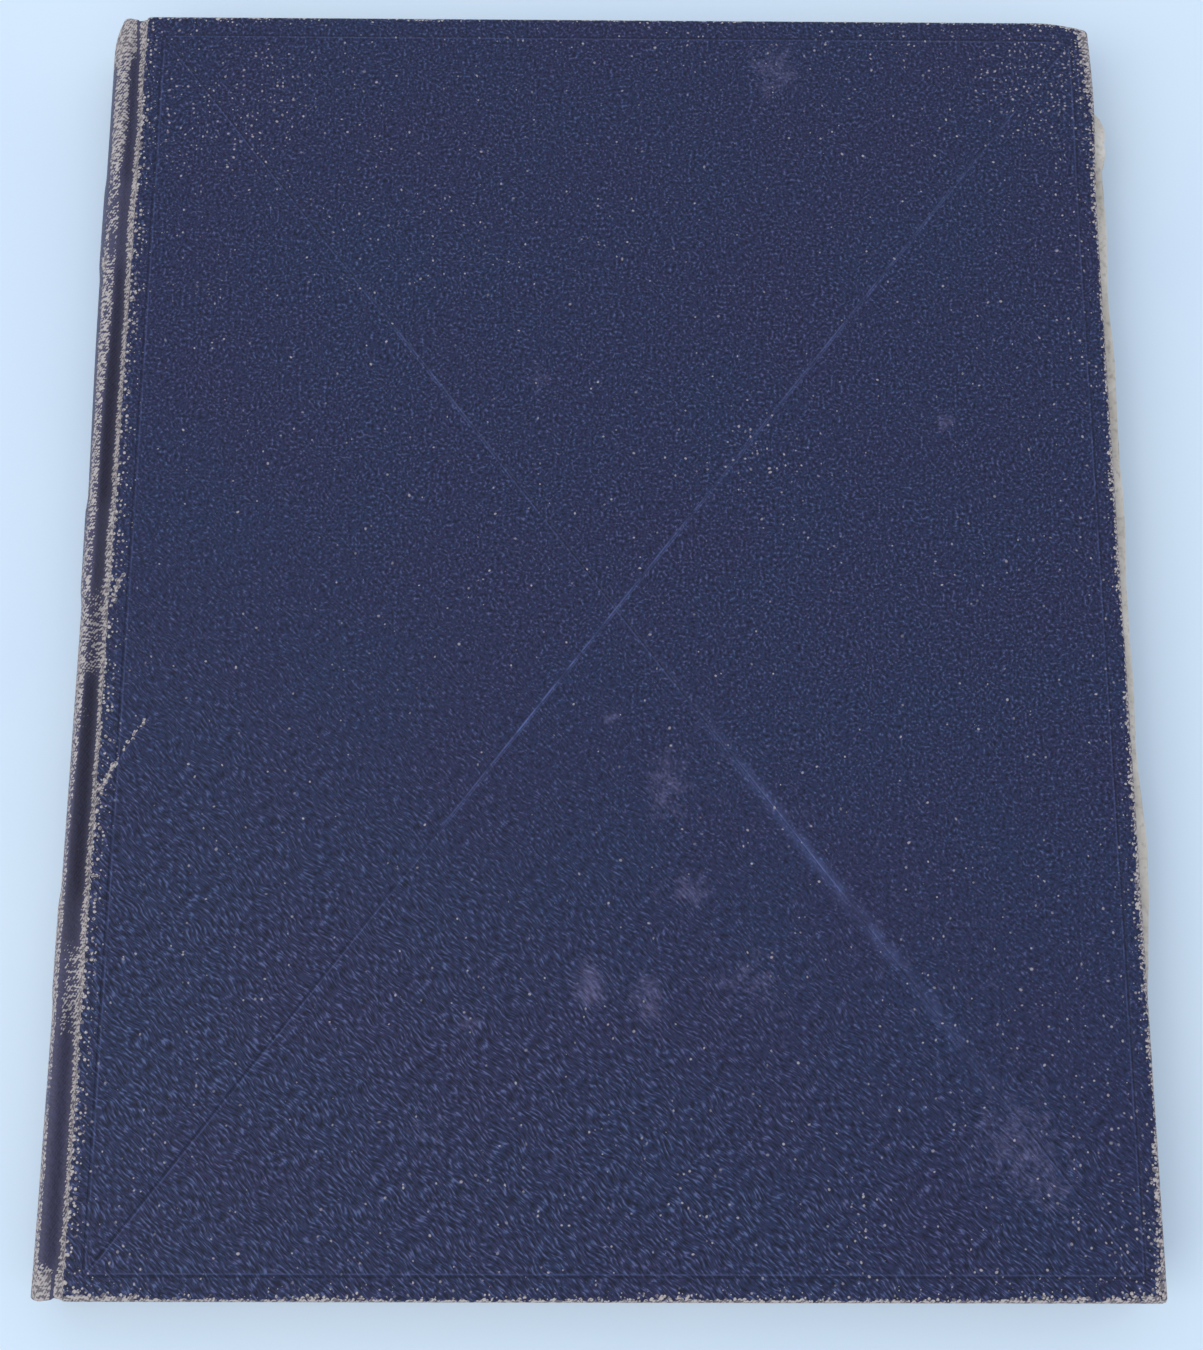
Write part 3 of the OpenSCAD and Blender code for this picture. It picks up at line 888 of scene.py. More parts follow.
@dataclass
class CaseCloth:
    """One half of the case's cloth: cover face, edges, turn-ins, joint groove and half the spine.

    The sheet is a grid from the spine's middle line to the fore-edge and from tail to head. Round
    its three outer sides runs a wrap of rings: over the edge, down the side, and in behind.
    """

    sizes: BookSizes
    side: Side
    coarse: float = 1.5
    fine: float = 0.22
    fine_reach: float = 8.0
    shell: float = 0.3
    spine_edge_r: float = 0.5
    spine_wall: tuple[float, float] = (1.54, 0.7)
    inner_r: float = 0.25
    end_reach: float = 9.0
    inset_reach: float = 10.0
    sag: float = 0.1
    sag_reach: float = 14.0
    # Grid columns of the spine's arc, the ridge, the fall, the board's edge and its round
    columns: tuple[int, int, int, int, int] = (9, 7, 7, 6, 5)
    # The blend from spine to cover runs this far in x and height from the groove's floor
    blend_x: float = 1.18
    blend_rise: float = 0.29
    # Turned-in width: from the ridge's top, 1 mm inwards, at the hinge, and on the board
    spine_turn: tuple[float, float, float] = (6.0, 2.4, 2.4)
    turn_shares: tuple[float, ...] = (0.04, 0.2, 0.5, 0.8, 1.0)
    # Reach of the wear in mm from the tail, the head and the fore-edge, and of its corners
    tail_reach: float = 0.9
    head_reach: float = 0.5
    fore_reach: float = 0.9
    corner_reach: float = 14.0
    # Wear across the joint: mm from the board's edge, and wear there
    joint_wear: tuple[Row, Row] = (
        (-1.9, -1.5, -1.2, -0.85, -0.15, 0.2, 0.55, 1.2, 2.4, 3.2, 5.0),
        (0.0, 0.1, 0.5, 0.85, 0.88, 0.6, 0.44, 0.38, 0.25, 0.15, 0.0),
    )
    # Bared spine: share of the height, and how far towards the ridge the weave shows
    bare_reach: tuple[Row, Row] = (
        (0.2, 0.32, 0.43, 0.55, 0.66, 0.74, 0.8, 0.9),
        (0.73, 0.8, 1.03, 1.09, 1.0, 1.13, 1.12, 1.2),
    )
    # Painted shade in the groove and on the ridge's fall: share of the height, and its strength
    groove_shade_along: tuple[Row, Row] = (
        (0.16, 0.3, 0.46, 0.55, 0.68, 0.74, 0.8),
        (0.1, 0.5, 0.55, 0.5, 0.5, 0.4, 0.2),
    )
    # Shares of the height at which the groove is bared over a tape
    crossings: tuple[float, float] = (0.212, 0.48)
    # Rubbed marks on the front cover: place in mm from its joint and tail, half widths, strength
    scuffs: tuple[Mark, ...] = (
        (93.2, 55.4, 2.6, 4.2, 1.0),
        (103.6, 52.7, 2.6, 5.2, 0.7),
        (71.3, 48.6, 2.6, 2.0, 0.55),
        (122.5, 56.0, 6.0, 5.0, 0.35),
        (111.7, 72.8, 4.5, 3.4, 0.55),
        (107.2, 92.0, 3.8, 6.0, 0.55),
        (96.8, 105.5, 1.6, 1.3, 0.8),
        (82.8, 173.6, 2.2, 2.8, 0.45),
        (163.0, 165.6, 1.9, 1.9, 0.7),
        (130.8, 242.3, 5.5, 6.5, 0.55),
        (64.0, 29.5, 5.0, 4.0, 0.3),
        (170.0, 28.0, 8.0, 8.5, 0.5),
        (176.5, 20.0, 5.0, 6.0, 0.35),
        (150.0, 60.0, 30.0, 26.0, 0.12),
        (121.0, 96.0, 14.0, 12.0, 0.14),
    )
    # Pinprick holes in the size: place, half widths, share of the grain's cells
    specks: tuple[Mark, ...] = (
        (187.0, 239.0, 13.0, 14.0, 0.62),
        (192.0, 205.0, 5.0, 40.0, 0.12),
        (189.0, 6.5, 9.0, 8.0, 0.4),
        (185.0, 22.0, 9.0, 18.0, 0.14),
        (24.0, 233.5, 17.0, 11.0, 0.38),
        (8.0, 226.0, 7.0, 26.0, 0.16),
        (14.4, 192.4, 5.0, 3.0, 0.26),
        (128.2, 157.1, 13.0, 8.0, 0.16),
        (54.2, 201.4, 24.0, 16.0, 0.06),
        (168.5, 52.9, 20.0, 20.0, 0.07),
        (95.1, 20.9, 34.0, 12.0, 0.06),
        (141.2, 10.6, 0.9, 8.5, 0.8),
        (10.0, 12.0, 9.0, 14.0, 0.12),
        (150.0, 246.0, 40.0, 5.0, 0.1),
    )
    # Rubbed stretches of the two diagonals: place across the cover and half width, or both places
    # and both half widths; then strength
    rise_rubs: tuple[tuple[float, float, float], ...] = ((86.0, 24.0, 0.9), (142.0, 34.0, 0.6))
    fall_rubs: tuple[Mark, ...] = ((62.0, 176.0, 22.0, 28.0, 0.55), (138.0, 76.0, 30.0, 40.0, 0.8))
    # Soft crease beside the falling diagonal: place and half widths
    crease: tuple[float, float, float, float] = (142.0, 70.0, 34.0, 44.0)
    # Distance in mm that stands for no line
    no_line: float = 9.0
    tear_bow: float = 0.5
    # Short tears by the joint: ends in mm from the cover's joint and tail
    tears: tuple[tuple[float, float, float, float], ...] = (
        (0.9, 91.0, 9.6, 106.0),
        (1.1, 127.6, 3.0, 133.8),
    )

    def section(self, y: np.ndarray) -> tuple[np.ndarray, np.ndarray]:
        """Section of the outer face, from the spine's middle to the cover's flat face.

        Arc of the spine, arc of the ridge, smooth fall to the groove's floor, parabola up the
        board's edge and quarter round over it; then the flat face to the fore-edge.

        Args:
            y: places along the book.
        Returns:
            x and height over the middle, each a row of section points for every y.
        """
        s = self.sizes
        n_arc, n_ridge, n_fall, n_wall, n_round = self.columns
        end = 1 - smooth(0.0, self.end_reach, np.minimum(y - s.tail_y, s.head_y - y))
        fill = np.maximum(s.tape_fill * s.over_tape(y), s.end_fill * end)
        floor = s.half_block + s.leaf_t + s.groove_lift + s.cloth_t + fill[None]
        lip = s.mid_z - s.edge_r
        flat = np.zeros((1, len(y)))
        a = np.linspace(0, s.ridge_angle, n_arc, endpoint=False)[:, None]
        b = np.linspace(s.ridge_angle, math.pi / 2, n_ridge, endpoint=False)[:, None]
        t = np.linspace(0, 1, n_fall, endpoint=False)[:, None]
        w = np.linspace(0, 1, n_wall, endpoint=False)[:, None]
        c = np.linspace(0, math.pi / 2, n_round, endpoint=False)[:, None]
        near, far = s.joint_x + s.edge_r, s.fore_x - s.edge_r
        face = graded(near, far, self.fine, self.coarse, self.fine_reach)[:, None]
        xs = [
            s.back_x - s.spine_r * np.cos(a) + flat,
            s.ridge_x - s.ridge_r * np.cos(b) + flat,
            s.ridge_x + (s.hinge_x - s.ridge_x) * t + flat,
            s.joint_x + (s.hinge_x - s.joint_x) * (1 - w) ** 1.4 + flat,
            s.joint_x + s.edge_r * (1 - np.cos(c)) + flat,
            face + flat,
        ]
        hs = [
            s.spine_r * np.sin(a) + flat,
            s.ridge_h - s.ridge_r + s.ridge_r * np.sin(b) + flat,
            s.ridge_h + (floor - s.ridge_h) * smooth(0, 1, t),
            floor + (lip - floor) * w**2,
            lip + s.edge_r * np.sin(c) + flat,
            np.full_like(face, s.mid_z) + flat,
        ]
        return np.concatenate(xs), np.concatenate(hs)

    def sheet(self) -> tuple[np.ndarray, np.ndarray]:
        """The grid of the outer face, and the same points laid out flat in the cloth's own mm.

        Returns:
            Points (columns, rows, 3), with the height over the middle as z, and flat places (.., 2)
            counted from the joint's edge and the tail.
        """
        s = self.sizes
        y = graded(s.tail_y, s.head_y, self.fine, self.coarse, self.fine_reach)
        x, h = self.section(y)
        run = np.zeros(len(x))
        mid = len(y) // 2
        run[1:] = np.cumsum(np.hypot(np.diff(x[:, mid]), np.diff(h[:, mid])))
        flat_x = run - run[sum(self.columns)] + s.edge_r
        plan = np.broadcast_to(y, x.shape)
        pull = np.exp(-(((x - s.hinge_x - 0.2) / 1.6) ** 2))
        inset = np.where(x < s.hinge_x, self.spine_edge_r, s.edge_r) + 0.25 * pull
        tail = np.clip(1 - (plan - s.tail_y) / self.inset_reach, 0, 1)
        head = np.clip(1 - (s.head_y - plan) / self.inset_reach, 0, 1)
        place_y = plan + inset * (tail - head)
        x = x + s.drawn_in(place_y) * (1 - smooth(s.spine_x + s.spine_lean, s.ridge_x, x))
        if self.side is Side.FRONT:
            inwards = self.sag_reach
            sag = smooth(0, inwards, x - s.joint_x) * smooth(0, inwards, s.fore_x - x)
            sag = sag * smooth(0, inwards, place_y - s.tail_y)
            sag = sag * smooth(0, inwards, s.head_y - place_y)
            waves = ripples(x, place_y, 70, 1) + 0.3 * ripples(x, place_y, 16, 2) - 0.6
            h = h + self.sag * sag * waves
        x_round, y_round = self._rounded_corners(x, place_y)
        flat = np.stack([np.broadcast_to(flat_x[:, None], x.shape), place_y - s.tail_y], -1)
        return np.stack([x_round, y_round, h], -1), flat

    def _rounded_corners(self, x: np.ndarray, y: np.ndarray) -> tuple[np.ndarray, np.ndarray]:
        """Rounds the fore-edge corners of the grid a little, and bumps the front one at the head.

        In a corner's own square, with u and v from 0 inside to 1 at the edge, the point moves to
        (u sqrt(1 - v^2 / 2), v sqrt(1 - u^2 / 2)), which turns the square's corner into an arc.
        The bump lowers the head edge by the drop times u^1.7 over its length; the frayed cloth
        below it stands out by a bell curve along the fore-edge.

        Args:
            x: places of the grid's points.
            y: their places along the book.
        Returns:
            Both, moved.
        """
        s = self.sizes
        reach = s.corner_r - s.edge_r
        edge_x = s.fore_x - s.edge_r
        for sign, end in ((1, s.head_y), (-1, s.tail_y)):
            edge_y = end - sign * s.edge_r
            u = np.clip(1 - (edge_x - x) / reach, 0, 1)
            v = np.clip(1 - sign * (edge_y - y) / reach, 0, 1)
            inside = (u > 0) & (v > 0)
            x = np.where(inside, edge_x - reach + reach * u * np.sqrt(1 - v * v / 2), x)
            y = np.where(inside, edge_y - sign * (reach - reach * v * np.sqrt(1 - u * u / 2)), y)
        if self.side is Side.FRONT:
            u = np.clip(1 - (s.fore_x - x) / s.bump_len, 0, 1)
            y = y - s.bump_drop * u**1.7 * smooth(s.head_y - s.bump_fade, s.head_y, y)
            below = (y - s.head_y + s.frayed_len) / s.frayed_len
            x = x + s.frayed_out * u * u * np.exp(-(below**2))
        return x, y

    def wrap(self, points: np.ndarray, flat: np.ndarray) -> tuple[np.ndarray, np.ndarray]:
        """Rings round tail, fore-edge and head: quarter round, side wall, inner round, turn-in.

        Each ring point is the border point, plus the outward normal times the profile's reach,
        plus the inward normal times its depth; the turn-in's rings close in on a smaller frame.

        Args:
            points: the face grid.
            flat: its flat places.
        Returns:
            Ring points (rings, path, 3) and their flat places.
        """
        s = self.sizes
        border = outline(points)
        out, down = self._directions(border, *points.shape[:2])
        reach, fall, length = self._profile(border)
        plan_out = np.concatenate([out, np.zeros((len(out), 1))], 1)
        rings = border + reach[..., None] * plan_out + fall[..., None] * down
        lays = outline(flat) + length[..., None] * out
        knots = [s.ridge_x, s.ridge_x + 1.0, s.hinge_x, s.joint_x + 0.5]
        turn = np.interp(border[:, 0], knots, [*self.spine_turn, s.turn_in])
        last = rings[-1]
        mid_y = (s.tail_y + s.head_y) / 2
        narrow = np.where(last[:, 0] > s.joint_x, 1 - s.turn_in / s.width, 1.0)
        goal_x = s.joint_x + (last[:, 0] - s.joint_x) * narrow
        goal_y = mid_y + (last[:, 1] - mid_y) * (1 - turn / (s.height / 2))
        goal = np.stack([goal_x, goal_y, last[:, 2]], 1)
        shares = np.array(self.turn_shares)[:, None, None]
        turned = last + (goal - last) * shares
        lays_in = lays[-1] + turn[:, None] * out * shares
        return np.concatenate([rings, turned]), np.concatenate([lays, lays_in])

    def _directions(self, border: np.ndarray, n: int, m: int) -> tuple[np.ndarray, np.ndarray]:
        """Outward direction in plan and inward direction at each point of the border.

        On the spine, inwards is square to the cloth's section; on the cover it is straight down.

        Args:
            border: points along tail, fore-edge and head.
            n: columns of the face grid.
            m: its rows.
        Returns:
            Unit vectors (.., 2) and (.., 3).
        """
        s = self.sizes
        step = np.gradient(border, axis=0)
        zero = np.zeros(len(border))
        number = np.arange(len(border))
        tail_part, head_part = number < n, number >= n + m - 1
        out = np.stack([step[:, 1], -step[:, 0]], 1)
        out /= np.maximum(np.linalg.norm(out, axis=1, keepdims=True), 1e-9)
        ends = np.stack([zero, np.where(tail_part, -1.0, 1.0)], 1)
        near_joint = (border[:, 0] < s.joint_x + 6) & (tail_part | head_part)
        out = np.where(near_joint[:, None], ends, out)
        run = np.where(head_part, -1.0, 1.0)
        down = np.stack([step[:, 2] * run, zero, -step[:, 0] * run], 1)
        down /= np.maximum(np.linalg.norm(down, axis=1, keepdims=True), 1e-9)
        board = (border[:, 0] >= s.hinge_x)[:, None]
        return out, np.where(board, np.array([0.0, 0.0, -1.0]), down)

    def _profile(self, border: np.ndarray) -> np.ndarray:
        """Profile of the wrap: five steps of the quarter round, two down the wall, two inner ones.

        Args:
            border: points along tail, fore-edge and head.
        Returns:
            Reach out, depth, and length of cloth used, each (rings, path).
        """
        s = self.sizes
        x = border[:, 0]
        span = [s.hinge_x, s.joint_x]
        bottom = np.interp(x, span, [s.half_block + s.leaf_t, s.mid_z - s.cover_t])
        spine_depth = np.interp(x, [s.ridge_x, s.hinge_x], self.spine_wall)
        depth = np.where(x >= s.hinge_x, border[:, 2] - bottom, spine_depth)
        radius = np.minimum(np.interp(x, span, [self.spine_edge_r, s.edge_r]), 0.55 * depth)
        inner = np.minimum(self.inner_r, 0.3 * depth)
        rows = []
        for angle in np.linspace(0, math.pi / 2, 6)[1:]:
            rows.append((radius * math.sin(angle), radius * (1 - math.cos(angle)), radius * angle))
        over = rows[-1][2]
        for share in (0.5, 1.0):
            wall = share * (depth - radius - inner)
            rows.append((radius, radius + wall, over + wall))
        over = rows[-1][2]
        for angle in np.linspace(0, math.pi / 2, 3)[1:]:
            reach = radius - inner * (1 - math.cos(angle))
            rows.append((reach, depth - inner * (1 - math.sin(angle)), over + inner * angle))
        return np.array(rows).transpose(1, 0, 2)

    def wear(self, flat: np.ndarray, points: np.ndarray) -> dict[str, np.ndarray]:
        """Vertex values for the cloth's finish.

        Args:
            flat: flat places of all vertices.
            points: their places.
        Returns:
            Attribute name to values.
        """
        at = self._spots(flat, points)
        front = self.side is Side.FRONT
        cover = smooth(-0.5, 0.5, at.rel)
        low = 1 - smooth(60, 190, at.fy + 0.45 * at.fx)
        scuff = np.zeros(len(at.fx))
        for cx, cy, sx, sy, gain in self.scuffs:
            share = gain if front else 0.4 * gain
            scuff = scuff + share * bump_at(at.fx, at.fy, cx, cy, sx, sy)
        return {
            "wear": self._worn(at),
            "weave": 1 - cover,
            # painted shade in the groove and on the ridge's fall
            "soot": self._groove_shade(at),
            "scuff": np.clip(scuff, 0, 1.2),
            "drag": 0.2 + 0.8 * low if front else np.full(len(low), 0.5),
            # strength of the painted highlight on the grain's tops, a little more at the lower left
            "gloss": (0.4 + 0.02 * low if front else np.full(len(low), 0.3)) * cover,
            "specks": self._pinpricks(at) * cover,
            **self._ruled(at),
            "sheet": np.stack([at.lay_x, at.fy, np.zeros(len(at.fx))], 1),
        }

    def _spots(self, flat: np.ndarray, points: np.ndarray) -> Spots:
        """Describes the places of the vertices.

        Args:
            flat: flat places of all vertices.
            points: their places.
        Returns:
            The description.
        """
        s = self.sizes
        fx, fy = flat[:, 0], flat[:, 1]
        lay_x = fx if self.side is Side.FRONT else 2 * fx.min() - fx
        share = fy / s.height
        start = s.spine_x + s.spine_lean + s.drawn_in(fy + s.tail_y)
        near = [1 - smooth(0.02, 0.045, np.abs(share - c)) for c in self.crossings]
        return Spots(
            fx=fx,
            fy=fy,
            lay_x=lay_x,
            rel=points[:, 0] - s.joint_x,
            share=share,
            from_out=(points[:, 0] - start) / (s.ridge_x - start),
            reach=np.interp(share + 0.01 * ripples(lay_x, fy, 13, 8), *self.bare_reach),
            crossing=np.max(near, axis=0),
        )

    def _worn(self, at: Spots) -> np.ndarray:
        """How far the blue is rubbed off.

        Wear falls with the distance d from an edge as 0.95 / (1 + 1.5 (d / reach)^2), more widely
        at corners, and is low on the turn-ins. The joint has a profile of its own. The spine is
        bare on its outer half, less so high up, and at both ends. Only the folds beside the ridge
        keep their blue, as painted shade along the groove's floor, apart from where the groove
        crosses a tape.

        Args:
            at: the vertices' places.
        Returns:
            A value for each vertex.
        """
        s = self.sizes
        fx, fy, lay_x, rel, share = at.fx, at.fy, at.lay_x, at.rel, at.share
        to_side = np.minimum(np.abs(fx), np.abs(s.width - fx))
        to_end = np.minimum(np.abs(fy), np.abs(s.height - fy))
        more = 1 + 1.1 * np.exp(-(to_side**2 + to_end**2) / self.corner_reach**2)
        along = 1 + 0.35 * ripples(lay_x, fy, 23, 3)
        shifted = rel + 0.22 * ripples(lay_x, fy, 17, 5) + 0.4 * smooth(0.9, 1.0, share)
        level = np.where(rel > -3, np.interp(shifted, *self.joint_wear), 0.0)
        fore = self.fore_reach + 0.2 * (1 - smooth(60, 170, fy))
        edges = ((fy, self.tail_reach), (s.height - fy, self.head_reach), (s.width - fx, fore))
        for d, reach in edges:
            value = 0.95 / (1 + 1.5 * (np.maximum(d, 0) / (reach * more * along)) ** 2)
            value = value * (1 - smooth(3.2, 5.5, -d))
            level = np.where(rel > 0, np.maximum(level, value), level)
        bare = 0.56 * (1 - smooth(at.reach - 0.07, at.reach + 0.08, at.from_out))
        middle = 1 - smooth(0.36, 0.5, at.from_out)
        kept = 0.3 + 0.2 * smooth(0.05, 0.2, at.from_out)
        bare = bare - smooth(0.5, 0.66, share) * middle * kept
        uneven = 0.2 * middle * ripples(0.5 * lay_x, fy, 12, 9)
        bare = bare + uneven * (1 - smooth(0.1, 0.3, at.from_out))
        bare = bare - 0.5 * bump_at(at.from_out, share, 0.92, 0.795, 0.16, 0.014)
        caps = 0.5 * (1 - smooth(5, 12, s.height - fy)) + 0.45 * (1 - smooth(3, 8, fy))
        spine = bare + caps + 0.13 * ripples(lay_x, fy, 22, 4) + 0.08 * ripples(lay_x, fy, 7, 6)
        on_spine = 1 - smooth(-2.0, -1.6, rel)
        level = level * (1 - on_spine) + spine * on_spine
        ends = smooth(0.955, 0.98, share) + 1 - smooth(0.01, 0.03, share)
        # Less wear along the groove's floor keeps it dark blue: painted shade of the deep crease
        fold = (0.2 + ends) * np.exp(-(((rel + 1.85) / 0.36) ** 2))
        at_end = np.minimum(caps * 2.2, 1.0) * (rel < 0.3)
        level = np.maximum(level, at_end) - fold * (rel < -0.6)
        bumped = 0.4 * bump_at(fx, fy, s.width + 0.5, s.height - 6, 3.8, 17)
        level = level + bumped * (self.side is Side.FRONT)
        in_groove = smooth(-4.2, -3.2, rel) * (1 - smooth(-0.9, -0.3, rel))
        crossed = 0.46 * at.crossing * in_groove * (1 + 0.3 * ripples(lay_x, fy, 7, 6))
        return np.maximum(level, crossed)

    def _groove_shade(self, at: Spots) -> np.ndarray:
        """Painted shade in the joint groove and on the ridge's fall, thinner over the tapes and
        gone at both ends.

        Args:
            at: the vertices' places.
        Returns:
            A value for each vertex.
        """
        soot = smooth(at.reach, at.reach + 0.16, at.from_out) * (1 - smooth(-1.55, -0.95, at.rel))
        soot = soot * np.interp(at.share, *self.groove_shade_along)
        soot = soot * (1 - 0.75 * at.crossing) * (1 - smooth(0.93, 0.99, at.share))
        return soot * smooth(0.01, 0.04, at.share) * (at.rel > -6)

    def _pinpricks(self, at: Spots) -> np.ndarray:
        """Share of the grain's cells with a pinprick: more near the edges and at the marks.

        Args:
            at: the vertices' places.
        Returns:
            A value for each vertex.
        """
        s = self.sizes
        ends = np.minimum(at.fy, s.height - at.fy)
        speck = 0.022 + 0.07 * np.exp(-np.maximum(np.minimum(ends, s.width - at.fx), 0) / 5)
        if self.side is Side.FRONT:
            for cx, cy, sx, sy, gain in self.specks:
                speck = speck + gain * bump_at(at.fx, at.fy, cx, cy, sx, sy)
        return speck

    def _ruled(self, at: Spots) -> dict[str, np.ndarray]:
        """Values for the blind-ruled lines: signed distances in mm, tears and rubbing.

        The distances are from the frame, the rising and the falling diagonal, and no_line where
        there is none. Near a tear by the joint, the tear takes the rising diagonal's place, with
        a slight bow.

        Args:
            at: the vertices' places.
        Returns:
            Attribute name to values.
        """
        s = self.sizes
        fx, fy = at.fx, at.fy
        front = self.side is Side.FRONT
        frame_x = np.abs(fx - s.width / 2) - (s.width / 2 - s.frame_side)
        frame_y = np.abs(fy - s.height / 2) - (s.height / 2 - s.frame_end)
        frame = np.maximum(frame_x, frame_y)
        low = np.array([s.frame_side, s.frame_end])
        high = np.array([s.width - s.frame_side, s.height - s.frame_end])
        span = high - low
        diagonal = float(np.linalg.norm(span))
        rise = ((fx - low[0]) * -span[1] + (fy - low[1]) * span[0]) / diagonal
        fall = ((fx - low[0]) * span[1] + (fy - high[1]) * span[0]) / diagonal
        on_face = (fx > 0.5) & front
        inside = frame < 0.4
        torn = np.zeros(len(fx))
        for ax, ay, bx, by in self.tears:
            long = math.hypot(bx - ax, by - ay)
            along = ((fx - ax) * (bx - ax) + (fy - ay) * (by - ay)) / long
            across = ((fx - ax) * (ay - by) + (fy - ay) * (bx - ax)) / long
            bow = across - self.tear_bow * np.sin(math.pi * np.clip(along / long, 0, 1))
            near = (along > -1) & (along < long + 1) & (np.abs(bow) < 3) & front
            rise = np.where(near, bow, rise)
            torn = np.where(near, smooth(-1, 1, along) * smooth(-1, 1, long - along), torn)
            inside = inside | (near & (fx > 0.5))
        shown = (on_face, on_face & inside, on_face & inside)
        pairs = zip(shown, (frame, rise, fall))
        lines = [np.where(where, d, self.no_line) for where, d in pairs]
        rub_rise = sum(gain * np.exp(-(((fx - c) / half) ** 2)) for c, half, gain in self.rise_rubs)
        rub_fall = sum(gain * bump_at(fx, fy, *mark) for *mark, gain in self.fall_rubs)
        nearer = smooth(-2, 2, np.abs(rise) - np.abs(fall))
        return {
            "lines": np.stack(lines, 1),
            "rub": np.clip(rub_rise * (1 - nearer) + rub_fall * nearer, 0, 1),
            "crease": bump_at(fx, fy, *self.crease) * on_face,
            "torn": torn * on_face,
        }

    def build(self, name: str, cloth: bpy.types.Material) -> None:
        """Makes the half case as one closed shell and sets its finish.

        Args:
            name: piece name.
            cloth: the cloth's material.
        """
        s = self.sizes
        points, flat = self.sheet()
        rings, lays = self.wrap(points, flat)
        n, m = points.shape[:2]
        ids = np.arange(n * m).reshape(n, m)
        ring_ids = n * m + np.arange(rings.shape[0] * rings.shape[1]).reshape(rings.shape[:2])
        quads = np.concatenate([grid_quads(ids), grid_quads(np.vstack([outline(ids), ring_ids]))])
        verts = np.concatenate([points.reshape(-1, 3), rings.reshape(-1, 3)])
        laid = np.concatenate([flat.reshape(-1, 2), lays.reshape(-1, 2)])
        extras = {key: np.concatenate([v, v]) for key, v in self.wear(laid, verts).items()}
        for key in ("wear", "specks", "soot", "torn"):
            extras[key][len(laid) :] = 0.0
        rim = len(open_edges(quads))
        verts, quads = self.side.placed(*thickened(verts, quads, self.shell), s.mid_z)
        piece = write_mesh(name, verts, quads, cloth, extras, rim)
        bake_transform(piece)
        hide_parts(self.side.prefix + "_cloth", "spine_cloth")


